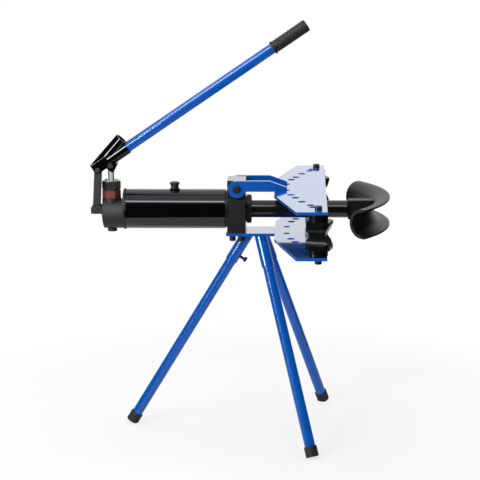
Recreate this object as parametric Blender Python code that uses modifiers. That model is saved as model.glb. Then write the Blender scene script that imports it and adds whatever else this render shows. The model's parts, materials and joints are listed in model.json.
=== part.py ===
"""Hydraulic pipe bender on a tripod: hand pump, ram, bend former and open wing frame.

Metres, +Z up. The ram pushes along +X, the open side of the frame faces -Y and +Y.
The origin lies on the floor under the middle of the whole length.
"""

import math

import bmesh
import bpy
from mathutils import Matrix, Vector

# Fits
SEAT_GAP = 0.0003
RUNNING_GAP = 0.0003
LINK_SIDE_GAP = 0.0010
CUT_OVERRUN = 0.010

# Ram and hydraulic cylinder
RAM_AXIS_HEIGHT = 0.611
RAM_RADIUS = 0.023
RAM_REACH = 0.3194
RAM_STROKE = 0.200
RAM_NOSE_RADIUS = 0.012
RAM_NOSE_LENGTH = 0.024
RAM_CHAMFER = 0.0025
RAM_END_PLAY = 0.003
PISTON_RADIUS = 0.0337
PISTON_LENGTH = 0.025
PISTON_SEAL_WIDTH = 0.007
PISTON_SEAL_DEPTH = 0.0035
PISTON_SPIGOT_RADIUS = 0.012
TUBE_RADIUS = 0.0526
TUBE_WALL = 0.004
TUBE_LENGTH = 0.266
PRESSURE_TUBE_RADIUS = 0.040
PRESSURE_TUBE_WALL = 0.006
COLLAR_RADIUS = 0.0495
COLLAR_LENGTH = 0.0052
FLANGE_RADIUS = 0.0545
FLANGE_LENGTH = 0.007
FLANGE_SPIGOT_LENGTH = 0.012
GUIDE_WALL = 0.004
GUIDE_LENGTH = 0.030
RAM_SEAL_LENGTH = 0.007
GLAND_NUT_ACROSS_CORNERS = 0.078
GLAND_NUT_LENGTH = 0.0145
SPRING_COIL_RADIUS = 0.0285
SPRING_WIRE_RADIUS = 0.0022
SPRING_TURNS = 7

# Front block and the base under it
BLOCK_LENGTH = 0.049
BLOCK_WIDTH = 0.0924
BLOCK_TOP_WIDTH = 0.0714
BLOCK_BELOW_AXIS = 0.0580
BLOCK_LEDGE_ABOVE_AXIS = 0.0322
BLOCK_ABOVE_AXIS = 0.0826
BASE_BAR_LENGTH = 0.1290
BASE_BAR_REAR_LIP = 0.0038
BASE_BAR_WIDTH = 0.088
PLATE_THICKNESS = 0.0077
BASE_BOLT_SPACING_X = 0.0224
BASE_BOLT_SPACING_Y = 0.056
BASE_BOLT_HEAD_RADIUS = 0.0085
BASE_BOLT_HEAD_LENGTH = 0.0150
BASE_BOLT_RADIUS = 0.005
BASE_BOLT_DEPTH = 0.018

# Wing plates, arms and pins
FRAME_GAP = 0.1092
PLATE_TAIL_HALF = 0.109
PLATE_HALF_WIDTH = 0.3205
PLATE_TAPER_REACH = 0.0576
PLATE_LENGTH = 0.1354
PIN_RADIUS = 0.009
PIN_HOLE_RADIUS = 0.0102
PIN_ABOVE_PLATE = 0.0095
PIN_BELOW_PLATE = 0.0143
PIN_CHAMFER = 0.0015
PIN_STEPS_X = (0.0436, 0.0554, 0.0723, 0.0939, 0.1004, 0.1130)
PIN_FROM_WING_END = 0.0310
PIN_PITCHES_Y = (0.0365, 0.0505, 0.0436, 0.0239, 0.0305)
TIP_HOLE_X = 0.0320
TIP_HOLE_RADIUS = 0.0085
ARM_THICKNESS = 0.0100
ARM_EYE_FORWARD = 0.0260
ARM_EYE_ABOVE_AXIS = 0.0609
ARM_EYE_RADIUS = 0.0229
ARM_BOLT_RADIUS = 0.0088
ARM_BOLT_HEAD_RADIUS = 0.0108
ARM_BOLT_HEAD_LENGTH = 0.0030
ARM_BOLT_BOSS_RADIUS = 0.0072
ARM_BOLT_BOSS_LENGTH = 0.0015
ARM_BOLT_DEPTH = 0.022
ARM_SHOULDER_REACH = 0.0859
ARM_TIP_REACH = 0.1322
ARM_TIP_HEIGHT = 0.0080
ARM_BELOW_EYE = 0.0060

# Counter-blocks
BLOCK_TURN_DEG = 15.0
BLOCK_NEAR_FACE = 0.0270
BLOCK_NEAR_HALF = 0.0190
BLOCK_PIPE_FACE = 0.0330
BLOCK_PIPE_HALF = 0.0200
BLOCK_FAR_FACE = 0.0300
BLOCK_FAR_HALF = 0.0190
BLOCK_REAR_FACE = 0.0277
BLOCK_REAR_HALF = 0.0180
BLOCK_COLLAR_RADIUS = 0.0245
BLOCK_LOWER_COLLAR = 0.0170
BLOCK_UPPER_COLLAR = 0.0202
VEE_OPENING = 0.0466
VEE_DEPTH = 0.0142
VEE_ROOT_RADIUS = 0.0030
NEAR_GROOVE = (0.0215, 0.0145)
FAR_GROOVE = (0.0170, 0.0110)
REAR_GROOVE = (0.0110, 0.0080)

# Bend former
FORMER_RIM_RADIUS = 0.3046
FORMER_LIP = 0.011
FORMER_GROOVE_RADIUS = 0.0302
FORMER_MOUTH_FLARE = 0.0030
FORMER_HALF_HEIGHT = 0.0382
FORMER_HALF_ANGLE_DEG = 40.8
FORMER_RIM_REACH = 0.1115
HUB_HALF_WIDTH = 0.015
HUB_HALF_HEIGHT = 0.0260
HUB_BITE = 0.0045

# Pump
PUMP_RADIUS = 0.0396
PUMP_DROP = 0.0127
PUMP_LENGTH = 0.0556
PUMP_CHAMFER = 0.0015
PUMP_REAR_SLOPE_DEG = 5.0
PLUNGER_SETBACK = 0.0325
PLUNGER_RADIUS = 0.0081
PLUNGER_BORE_DEPTH = 0.075
PLUNGER_BELOW_NUT = 0.050
PLUNGER_CHAMFER = 0.001
BOSS_RADIUS = 0.0255
BOSS_RISE = 0.0030
NUT_ACROSS_CORNERS = 0.0500
NUT_HEIGHT = 0.0225
NUT_CHAMFER = 0.0030
PUMP_NUT_TURN_DEG = 28.0
GLAND_NUT_TURN_DEG = 34.0
GLAND_RING_RADIUS = 0.0215
GLAND_RING_HEIGHT = 0.0014
GLAND_SCREW_RADIUS = 0.0030
GLAND_SCREW_HEIGHT = 0.0032
GLAND_SCREW_PITCH = 0.0136
DRAIN_PLUG_RADIUS = 0.0135
DRAIN_PLUG_HEIGHT = 0.0080
DRAIN_PLUG_CHAMFER = 0.0012
EAR_THICKNESS = 0.0075
EAR_LENGTH = 0.0316
EAR_HALF_HEIGHT = 0.0106
EAR_PIVOT_INSET = 0.0137
EAR_CORNER = 0.0045
EAR_ROOT = 0.012
EAR_BELOW_AXIS = -0.0010

# Pump linkage
LINK_LENGTH = 0.1082
LINK_LEAN = 0.0068
LINK_WIDTH = 0.0198
LINK_THICKNESS = 0.016
LINK_PIN_RADIUS = 0.0045
LINK_PIN_HEAD_RADIUS = 0.0066
LINK_PIN_HEAD_LENGTH = 0.0022
CHEEK_THICKNESS = 0.0065
PLUNGER_PIN_RISE = 0.0120
PLUNGER_PIN_RADIUS = 0.0040
PLUNGER_PIN_PLAY = 0.0018
PLUNGER_PIN_HEAD_RADIUS = 0.0072
PLUNGER_EYE_RADIUS = 0.0086
HANDLE_ANGLE_DEG = 34.15
HANDLE_ABOVE_PIVOT = 0.0045
HANDLE_RADIUS = 0.014
HANDLE_WALL = 0.0025
SOCKET_WALL = 0.0030
SOCKET_START = 0.050
SOCKET_ROOT = 0.012
SOCKET_END = 0.0998
SOCKET_DEPTH = 0.045
REAR_SOCKET_TURN_DEG = 14.4
REAR_SOCKET_END = (0.0996, 0.0317)
REAR_SOCKET_LENGTH = 0.140
REAR_SOCKET_DEPTH = 0.025
WEB_THICKNESS = 0.0060
WEB_BELOW_SOCKET = 0.0006
WELD_BITE = 0.0010
HEAD_TAIL = 0.0102
HEAD_END = 0.0480
HEAD_CHANNEL_END = 0.046
CHEEK_OUTLINE = ((-0.0102, -0.0035), (-0.0040, -0.0095), (0.0093, -0.0100), (0.0225, -0.0095),
                 (0.0252, -0.0215), (0.0295, -0.0270), (0.0355, -0.0270), (0.0405, -0.0228),
                 (0.0518, -0.0185), (0.0533, -0.0108), (0.0495, -0.0020), (0.0485, 0.0124))
GRIP_START = 0.5655
GRIP_END = 0.6728
GRIP_RADIUS = 0.0162
GRIP_FLANGE_RADIUS = 0.0178
GRIP_FLANGE_LENGTH = 0.006
GRIP_WALL_END = 0.004
GRIP_CHAMFER = 0.002

# Filler plug and release valve
FILLER_FROM_COLLAR = 0.1360
FILLER_BOSS_RADIUS = 0.0144
FILLER_BOSS_RISE = 0.0024
FILLER_BOSS_SINK = 0.002
FILLER_NECK_RADIUS = 0.0105
FILLER_NECK_HEIGHT = 0.0098
FILLER_CAP_RADIUS = 0.0129
FILLER_CAP_HEIGHT = 0.0074
FILLER_CAP_CHAMFER = 0.002
FILLER_STEM_RADIUS = 0.0060
FILLER_STEM_LENGTH = 0.0110
VALVE_SETBACK = 0.030
VALVE_BELOW_AXIS = 0.020
VALVE_STEM_RADIUS = 0.0055
VALVE_STEM_LENGTH = 0.016
VALVE_KNOB_RADIUS = 0.0125
VALVE_KNOB_LENGTH = 0.014
VALVE_KNOB_CHAMFER = 0.001
VALVE_BAR_RADIUS = 0.003
VALVE_BAR_LENGTH = 0.050

# Tripod: direction of each leg seen from above, and how far its foot stands out
LEFT_FOOT_REACH = 0.3505
FRONT_FOOT_REACH = 0.2925
LEGS = {"left": (175.9, LEFT_FOOT_REACH), "near": (-58.6, FRONT_FOOT_REACH),
        "far": (50.4, FRONT_FOOT_REACH)}
TRIPOD_FORWARD = 0.0757
LEG_TOP_SPREAD = 0.0220
LEG_RADIUS = 0.014
LEG_WALL = 0.002
LEG_SOCKET_WALL = 0.0022
LEG_SOCKET_LENGTH = 0.089
LEG_SOCKET_CROWN = 0.012
LEG_TOP_CLEARANCE = 0.014
FOOT_RADIUS = 0.0170
FOOT_LENGTH = 0.027
FOOT_SOLE = 0.004
FOOT_PRESS = 0.0035
SCREW_FROM_TOP = 0.068
SCREW_RADIUS = 0.0040
SCREW_HEAD_RADIUS = 0.0073
SCREW_HEAD_LENGTH = 0.0070
SCREW_HEAD_START = 0.0285
SCREW_TURN_DEG = {"left": 0.0, "near": -34.0, "far": 0.0}
SCREW_HEAD_BITE = 0.0005

# Places worked out from the sizes above
REAR_REACH = COLLAR_LENGTH + TUBE_LENGTH + FLANGE_LENGTH + PUMP_LENGTH + EAR_LENGTH
FRONT_REACH = RAM_REACH + FORMER_RIM_REACH
BLOCK_REAR_X = (REAR_REACH - FRONT_REACH) / 2
BLOCK_FRONT_X = BLOCK_REAR_X + BLOCK_LENGTH
TUBE_FRONT_X = BLOCK_REAR_X - COLLAR_LENGTH
TUBE_REAR_X = TUBE_FRONT_X - TUBE_LENGTH
PUMP_FRONT_X = TUBE_REAR_X - FLANGE_LENGTH
PUMP_REAR_X = PUMP_FRONT_X - PUMP_LENGTH
RAM_END_X = BLOCK_REAR_X + RAM_REACH
PISTON_FRONT_X = TUBE_REAR_X + FLANGE_SPIGOT_LENGTH + RAM_STROKE + PISTON_LENGTH + RAM_END_PLAY

BAR_TOP_Z = RAM_AXIS_HEIGHT - BLOCK_BELOW_AXIS
BAR_UNDER_Z = BAR_TOP_Z - PLATE_THICKNESS
UPPER_PLATE_UNDER_Z = BAR_TOP_Z + FRAME_GAP
UPPER_PLATE_TOP_Z = UPPER_PLATE_UNDER_Z + PLATE_THICKNESS
BAR_REAR_X = BLOCK_REAR_X - BASE_BAR_REAR_LIP
PLATE_REAR_X = BAR_REAR_X + BASE_BAR_LENGTH + SEAT_GAP
PLATE_FRONT_X = PLATE_REAR_X + PLATE_LENGTH
PIN_X = PLATE_REAR_X + PIN_STEPS_X[-1]
PIN_STEPS_Y = tuple(PLATE_HALF_WIDTH - PIN_FROM_WING_END - sum(PIN_PITCHES_Y[k:])
                    for k in range(len(PIN_STEPS_X)))
PIN_Y = PIN_STEPS_Y[-1]
ARM_EYE_X = BLOCK_REAR_X + ARM_EYE_FORWARD
ARM_EYE_Z = RAM_AXIS_HEIGHT + ARM_EYE_ABOVE_AXIS
ARM_INNER_Y = BLOCK_TOP_WIDTH / 2 + SEAT_GAP
ARM_OUTER_Y = ARM_INNER_Y + ARM_THICKNESS
ARM_MIDDLE_Y = (ARM_INNER_Y + ARM_OUTER_Y) / 2

PUMP_AXIS_Z = RAM_AXIS_HEIGHT - PUMP_DROP
PLUNGER_X = PUMP_FRONT_X - PLUNGER_SETBACK
BOSS_TOP_Z = PUMP_AXIS_Z + PUMP_RADIUS + BOSS_RISE
LOWER_NUT_Z = BOSS_TOP_Z + SEAT_GAP
UPPER_NUT_Z = LOWER_NUT_Z + NUT_HEIGHT + SEAT_GAP
RING_Z = UPPER_NUT_Z + NUT_HEIGHT + SEAT_GAP
EAR_PIVOT_X = PUMP_REAR_X - EAR_LENGTH + EAR_PIVOT_INSET
EAR_PIVOT_Z = RAM_AXIS_HEIGHT + EAR_BELOW_AXIS
EAR_INNER_Y = LINK_THICKNESS / 2 + LINK_SIDE_GAP
EAR_OUTER_Y = EAR_INNER_Y + EAR_THICKNESS
LEVER_X = EAR_PIVOT_X + LINK_LEAN
LEVER_Z = EAR_PIVOT_Z + math.sqrt(LINK_LENGTH ** 2 - LINK_LEAN ** 2)
PLUNGER_PIN_Z = LEVER_Z + PLUNGER_PIN_RISE
CHEEK_INNER_Y = LINK_THICKNESS / 2 + LINK_SIDE_GAP
CHEEK_OUTER_Y = CHEEK_INNER_Y + CHEEK_THICKNESS

TRIPOD_X = BLOCK_REAR_X + TRIPOD_FORWARD
FILLER_X = TUBE_FRONT_X - FILLER_FROM_COLLAR
TUBE_TOP_Z = RAM_AXIS_HEIGHT + TUBE_RADIUS

X_AXIS = Vector((1, 0, 0))
Y_AXIS = Vector((0, 1, 0))
Z_AXIS = Vector((0, 0, 1))


def clear_scene():
    for item in list(bpy.data.objects):
        bpy.data.objects.remove(item, do_unlink=True)
    for item in list(bpy.data.meshes):
        bpy.data.meshes.remove(item)
    for item in list(bpy.data.curves):
        bpy.data.curves.remove(item)


def make_collection(name):
    collection = bpy.data.collections.get(name)
    if collection is None:
        collection = bpy.data.collections.new(name)
        bpy.context.scene.collection.children.link(collection)
    return collection


def make_material(name, colour, roughness, metallic):
    material = bpy.data.materials.get(name) or bpy.data.materials.new(name)
    material.use_nodes = True
    shader = material.node_tree.nodes["Principled BSDF"]
    shader.inputs["Base Color"].default_value = (*colour, 1.0)
    shader.inputs["Roughness"].default_value = roughness
    shader.inputs["Metallic"].default_value = metallic
    material.diffuse_color = (*colour, 1.0)
    return material


clear_scene()
PARTS = make_collection("Pipe bender")
TOOLS = make_collection("Cutters")

FINISHES = {
    "blue_paint": ((0.0, 0.098, 0.445), 0.25, 0.0),
    "black_enamel": ((0.006, 0.006, 0.007), 0.2, 0.0),
    "block_black": ((0.018, 0.018, 0.018), 0.5, 0.3),
    "cast_grey": ((0.075, 0.075, 0.075), 0.55, 0.2),
    "former_cast": ((0.03, 0.03, 0.03), 0.5, 0.3),
    "black_oxide": ((0.015, 0.015, 0.016), 0.4, 0.6),
    "ram_steel": ((0.02, 0.02, 0.02), 0.3, 0.7),
    "chrome": ((0.8, 0.8, 0.82), 0.08, 1.0),
    "copper_plate": ((0.16, 0.045, 0.03), 0.4, 0.8),
    "zinc": ((0.6, 0.6, 0.6), 0.35, 1.0),
    "bronze": ((0.45, 0.28, 0.12), 0.35, 1.0),
    "steel": ((0.5, 0.5, 0.5), 0.35, 1.0),
    "rubber": ((0.02, 0.02, 0.02), 0.7, 0.0),
    "seal": ((0.02, 0.02, 0.02), 0.5, 0.0),
}
MATERIALS = {}


def finish(item, slot):
    """Give a sub-part its own copy of a finish, and put it with the parts."""
    colour, roughness, metallic = FINISHES[slot]
    item.data.materials.clear()
    item.data.materials.append(make_material(f"{item.name}_{slot}", colour, roughness, metallic))
    if item.name not in PARTS.objects:
        PARTS.objects.link(item)
    for collection in list(item.users_collection):
        if collection is not PARTS:
            collection.objects.unlink(item)
    return item


def as_tool(item):
    """Keep a shape as a cutter or a shape to join, out of the render."""
    for collection in list(item.users_collection):
        collection.objects.unlink(item)
    TOOLS.objects.link(item)
    item.hide_render = True
    item.display_type = "WIRE"
    return item


def frame_along(direction, origin):
    """A placement whose local Z runs along the given direction."""
    turn = Vector(direction).normalized().to_track_quat("Z", "Y").to_matrix().to_4x4()
    return Matrix.Translation(Vector(origin)) @ turn


def object_from(name, bm, matrix=Matrix.Identity(4)):
    mesh = bpy.data.meshes.new(name)
    bm.to_mesh(mesh)
    bm.free()
    item = bpy.data.objects.new(name, mesh)
    item.matrix_world = matrix
    bpy.context.scene.collection.objects.link(item)
    return item


def smooth(item, angle_deg=35.0):
    item.data.shade_smooth()
    item.data.set_sharp_from_angle(angle=math.radians(angle_deg))
    return item


def box(name, low, high):
    bm = bmesh.new()
    size = [h - l for l, h in zip(low, high)]
    middle = [(l + h) / 2 for l, h in zip(low, high)]
    bmesh.ops.create_cube(bm, size=1.0)
    bmesh.ops.scale(bm, vec=size, verts=bm.verts)
    bmesh.ops.translate(bm, vec=middle, verts=bm.verts)
    return object_from(name, bm)


def rod(name, radius, start, direction, length, segments=24, turn=0.0):
    """A round or many-sided bar that starts at a point and runs along a direction."""
    bm = bmesh.new()
    spin = Matrix.Translation((0, 0, length / 2)) @ Matrix.Rotation(turn, 4, "Z")
    bmesh.ops.create_cone(bm, cap_ends=True, segments=segments, radius1=radius, radius2=radius,
                          depth=length, matrix=spin)
    return smooth(object_from(name, bm, frame_along(direction, start)))


def turned(name, profile, start, direction, steps=24, closed=False):
    """A shape turned about a line. The profile is (radius, height), down its outer side."""
    bm = bmesh.new()
    verts = [bm.verts.new((radius, 0, height)) for radius, height in profile]
    for first, second in zip(verts, verts[1:]):
        bm.edges.new((first, second))
    if closed:
        bm.edges.new((verts[-1], verts[0]))
    item = object_from(name, bm, frame_along(direction, start))
    screw = item.modifiers.new("Turn", "SCREW")
    screw.axis = "Z"
    screw.angle = math.tau
    screw.steps = steps
    screw.render_steps = steps
    screw.use_merge_vertices = True
    screw.merge_threshold = 0.00001
    screw.use_smooth_shade = True
    return item


def pipe(name, outer, inner, start, direction, length, steps=24):
    """A plain tube."""
    profile = [(outer, length), (outer, 0), (inner, 0), (inner, length)]
    return turned(name, profile, start, direction, steps, closed=True)


def circle_loop(centre, radius, count=16, start=0.0):
    step = math.tau / count
    return [(centre[0] + radius * math.cos(start + k * step),
             centre[1] + radius * math.sin(start + k * step)) for k in range(count)]


def arc(centre, radius, start_deg, end_deg, count):
    """Points along an arc, both ends included."""
    angles = [math.radians(start_deg + (end_deg - start_deg) * k / count) for k in range(count + 1)]
    return [(centre[0] + radius * math.cos(a), centre[1] + radius * math.sin(a)) for a in angles]


def slab(name, loops, thickness, matrix):
    """A flat outline with its holes, filled and given a thickness, as a mesh."""
    curve = bpy.data.curves.new(name, "CURVE")
    curve.dimensions = "2D"
    curve.fill_mode = "BOTH"
    curve.extrude = thickness / 2
    for loop in loops:
        spline = curve.splines.new("POLY")
        spline.points.add(len(loop) - 1)
        for point, (x, y) in zip(spline.points, loop):
            point.co = (x, y, 0, 1)
        spline.use_cyclic_u = True
    drawn = bpy.data.objects.new(name + "_outline", curve)
    bpy.context.scene.collection.objects.link(drawn)
    drawn.matrix_world = matrix
    bpy.context.view_layer.update()
    evaluated = drawn.evaluated_get(bpy.context.evaluated_depsgraph_get())
    mesh = bpy.data.meshes.new_from_object(evaluated)
    bm = bmesh.new()
    bm.from_mesh(mesh)
    bmesh.ops.remove_doubles(bm, verts=bm.verts, dist=0.000001)
    bmesh.ops.recalc_face_normals(bm, faces=bm.faces)
    item = object_from(name, bm, drawn.matrix_world.copy())
    bpy.data.objects.remove(drawn, do_unlink=True)
    bpy.data.meshes.remove(mesh)
    bpy.data.curves.remove(curve)
    return item


def upright(y):
    """Stands an outline drawn in X and Y up in the X-Z plane at the given Y."""
    return Matrix.Translation((0, y, 0)) @ Matrix.Rotation(math.pi / 2, 4, "X")


def level(z):
    return Matrix.Translation((0, 0, z))


def combine(item, other, operation, solver="EXACT"):
    """Cut from, join to or trim an object with another one."""
    modifier = item.modifiers.new(operation.title(), "BOOLEAN")
    modifier.operation = operation
    modifier.solver = solver
    modifier.object = as_tool(other)
    return item


def cut(item, other):
    return combine(item, other, "DIFFERENCE")


def join(item, other):
    return combine(item, other, "UNION")


def on_axis(x):
    """A point on the ram's axis."""
    return Vector((x, 0, RAM_AXIS_HEIGHT))


def chamfered(radius, length, chamfer):
    """Profile of a plain round bar with both ends chamfered."""
    return [(0, length), (radius - chamfer, length), (radius, length - chamfer),
            (radius, chamfer), (radius - chamfer, 0), (0, 0)]


def hex_nut(name, across_corners, height, bore, start, direction, turn=0.0):
    """A six-sided nut with its corners chamfered and a round bore."""
    radius = across_corners / 2
    nut = rod(name, radius, start, direction, height, segments=6, turn=turn)
    crown = radius + SEAT_GAP
    drop = NUT_CHAMFER * math.tan(math.radians(30))
    rise = drop + SEAT_GAP * math.tan(math.radians(30))
    shape = [(0, height), (radius - NUT_CHAMFER, height), (crown, height - rise),
             (crown, rise), (radius - NUT_CHAMFER, 0), (0, 0)]
    combine(nut, turned(name + "_chamfer", shape, start, direction, 24), "INTERSECT")
    reach = Vector(direction).normalized() * CUT_OVERRUN
    cut(nut, rod(name + "_bore", bore, Vector(start) - reach, direction, height + 2 * CUT_OVERRUN))
    return nut


def make_cylinder():
    """Reservoir tube, its ends, the pressure tube inside and the ram's guide and seal."""
    tube = pipe("reservoir_tube", TUBE_RADIUS, TUBE_RADIUS - TUBE_WALL,
                on_axis(TUBE_REAR_X), X_AXIS, TUBE_LENGTH - SEAT_GAP, 40)
    neck_start = (FILLER_X, 0, RAM_AXIS_HEIGHT)
    cut(tube, rod("filler_hole", FILLER_NECK_RADIUS, neck_start, Z_AXIS, 2 * TUBE_RADIUS, 16))
    finish(tube, "black_enamel")

    bore = RAM_RADIUS + RUNNING_GAP
    collar = pipe("front_collar", COLLAR_RADIUS, PRESSURE_TUBE_RADIUS + SEAT_GAP,
                  on_axis(TUBE_FRONT_X), X_AXIS, COLLAR_LENGTH - SEAT_GAP, 40)
    finish(collar, "block_black")

    spigot = TUBE_RADIUS - TUBE_WALL - SEAT_GAP
    depth = FLANGE_LENGTH + FLANGE_SPIGOT_LENGTH
    shape = [(0, depth), (spigot, depth), (spigot, FLANGE_LENGTH - SEAT_GAP),
             (FLANGE_RADIUS, FLANGE_LENGTH - SEAT_GAP), (FLANGE_RADIUS, SEAT_GAP), (0, SEAT_GAP)]
    flange = turned("rear_flange", shape, on_axis(PUMP_FRONT_X), X_AXIS, 40)
    finish(flange, "cast_grey")

    start = TUBE_REAR_X + FLANGE_SPIGOT_LENGTH + SEAT_GAP
    inner = pipe("pressure_tube", PRESSURE_TUBE_RADIUS, PRESSURE_TUBE_RADIUS - PRESSURE_TUBE_WALL,
                 on_axis(start), X_AXIS, BLOCK_REAR_X - SEAT_GAP - start, 32)
    finish(inner, "steel")

    guide = pipe("ram_guide_bush", bore + GUIDE_WALL, bore,
                 on_axis(BLOCK_REAR_X + SEAT_GAP), X_AXIS, GUIDE_LENGTH, 32)
    finish(guide, "bronze")
    seal = pipe("ram_seal", bore + GUIDE_WALL, bore,
                on_axis(BLOCK_REAR_X + GUIDE_LENGTH + 2 * SEAT_GAP), X_AXIS, RAM_SEAL_LENGTH, 32)
    finish(seal, "seal")
    nut = hex_nut("ram_gland_nut", GLAND_NUT_ACROSS_CORNERS, GLAND_NUT_LENGTH, bore,
                  on_axis(BLOCK_FRONT_X + SEAT_GAP), X_AXIS)
    finish(nut, "block_black")


def make_return_spring():
    """The ram's return spring, squeezed between the piston and the front block."""
    start = PISTON_FRONT_X + SPRING_WIRE_RADIUS + SEAT_GAP
    end = BLOCK_REAR_X - SPRING_WIRE_RADIUS - SEAT_GAP
    per_turn = 12
    count = SPRING_TURNS * per_turn
    curve = bpy.data.curves.new("return_spring", "CURVE")
    curve.dimensions = "3D"
    curve.bevel_depth = SPRING_WIRE_RADIUS
    curve.bevel_resolution = 1
    curve.use_fill_caps = True
    spline = curve.splines.new("POLY")
    spline.points.add(count)
    for k, point in enumerate(spline.points):
        turn = math.tau * k / per_turn
        point.co = (start + (end - start) * k / count, SPRING_COIL_RADIUS * math.cos(turn),
                    RAM_AXIS_HEIGHT + SPRING_COIL_RADIUS * math.sin(turn), 1)
    spring = bpy.data.objects.new("return_spring", curve)
    finish(spring, "steel")


def make_front_block():
    """The machined block that carries the cylinder, the arms and the base bar."""
    half = BLOCK_WIDTH / 2
    top = BLOCK_TOP_WIDTH / 2
    ledge = RAM_AXIS_HEIGHT + BLOCK_LEDGE_ABOVE_AXIS
    crown = RAM_AXIS_HEIGHT + BLOCK_ABOVE_AXIS
    foot = BAR_TOP_Z + SEAT_GAP
    outline = [(-half, foot), (half, foot), (half, ledge), (top, ledge), (top, crown),
               (-top, crown), (-top, ledge), (-half, ledge)]
    facing = Matrix.Translation(((BLOCK_REAR_X + BLOCK_FRONT_X) / 2, 0, 0))
    facing = facing @ Matrix.Rotation(math.pi / 2, 4, "Z") @ Matrix.Rotation(math.pi / 2, 4, "X")
    block = slab("front_block", [outline], BLOCK_LENGTH, facing)

    bore = RAM_RADIUS + RUNNING_GAP
    cut(block, rod("block_bore", bore, on_axis(BLOCK_REAR_X - CUT_OVERRUN), X_AXIS,
                   BLOCK_LENGTH + 2 * CUT_OVERRUN, 32))
    housing = bore + GUIDE_WALL + SEAT_GAP
    length = GUIDE_LENGTH + RAM_SEAL_LENGTH + 3 * SEAT_GAP
    cut(block, rod("guide_housing", housing, on_axis(BLOCK_REAR_X - CUT_OVERRUN), X_AXIS,
                   length + CUT_OVERRUN, 32))
    for side in (-1, 1):
        start = (ARM_EYE_X, side * (top + CUT_OVERRUN), ARM_EYE_Z)
        hole = rod(f"arm_bolt_hole_{side}", ARM_BOLT_RADIUS + SEAT_GAP, start, (0, -side, 0),
                   ARM_BOLT_DEPTH + CUT_OVERRUN + SEAT_GAP, 20)
        cut(block, hole)
    for number, (x, y) in enumerate(base_bolt_places()):
        hole = rod(f"base_bolt_hole_{number}", BASE_BOLT_RADIUS + SEAT_GAP,
                   (x, y, foot - CUT_OVERRUN), Z_AXIS, BASE_BOLT_DEPTH + CUT_OVERRUN + SEAT_GAP, 12)
        cut(block, hole)
    finish(block, "block_black")


def base_bolt_places():
    middle = (BLOCK_REAR_X + BLOCK_FRONT_X) / 2
    return [(middle + sx * BASE_BOLT_SPACING_X / 2, sy * BASE_BOLT_SPACING_Y / 2)
            for sx in (-1, 1) for sy in (-1, 1)]


def bolt_profile(head_radius, head, shank_radius, shank):
    """Profile of a headed bolt whose head lies below height 0 and whose shank stands up."""
    return [(0, shank), (shank_radius, shank), (shank_radius, 0), (head_radius, 0),
            (head_radius, -head), (0, -head)]


def make_base():
    """Base bar, its bolts and the lower wing plate."""
    half = BASE_BAR_WIDTH / 2
    rear = BAR_REAR_X
    front = BAR_REAR_X + BASE_BAR_LENGTH
    outline = [(rear, -half), (front, -half), (front, half), (rear, half)]
    holes = [circle_loop(place, BASE_BOLT_RADIUS + SEAT_GAP, 12) for place in base_bolt_places()]
    bar = slab("base_bar", [outline] + holes, PLATE_THICKNESS, level(BAR_TOP_Z - PLATE_THICKNESS / 2))
    finish(bar, "blue_paint")

    shank = PLATE_THICKNESS + BASE_BOLT_DEPTH
    for number, (x, y) in enumerate(base_bolt_places(), start=1):
        profile = bolt_profile(BASE_BOLT_HEAD_RADIUS, BASE_BOLT_HEAD_LENGTH, BASE_BOLT_RADIUS, shank)
        bolt = turned(f"base_bolt_{number}", profile, (x, y, BAR_UNDER_Z - SEAT_GAP), Z_AXIS, 12)
        finish(bolt, "black_oxide")
    wing_plate("lower_wing_plate", BAR_TOP_Z - PLATE_THICKNESS / 2)


def wing_plate(name, middle_z):
    """A wing plate: straight front edge, tapered wings and two rows of pin holes."""
    rear = PLATE_REAR_X
    taper = rear + PLATE_TAPER_REACH
    tail = PLATE_TAIL_HALF
    wide = PLATE_HALF_WIDTH
    outline = [(rear, -tail), (taper, -wide), (PLATE_FRONT_X, -wide), (PLATE_FRONT_X, wide),
               (taper, wide), (rear, tail)]
    plate = slab(name, [outline], PLATE_THICKNESS, level(middle_z))
    holes = [(along, across, PIN_HOLE_RADIUS, 16) for along, across in zip(PIN_STEPS_X, PIN_STEPS_Y)]
    holes.append((TIP_HOLE_X, ARM_MIDDLE_Y, TIP_HOLE_RADIUS, 12))
    low = middle_z - PLATE_THICKNESS / 2 - CUT_OVERRUN
    depth = PLATE_THICKNESS + 2 * CUT_OVERRUN
    for place, side in (("near", -1), ("far", 1)):
        for number, (along, across, radius, segments) in enumerate(holes, start=1):
            start = (rear + along, side * across, low)
            cut(plate, rod(f"{name}_hole_{place}_{number}", radius, start, Z_AXIS, depth, segments))
    return finish(plate, "blue_paint")


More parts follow.
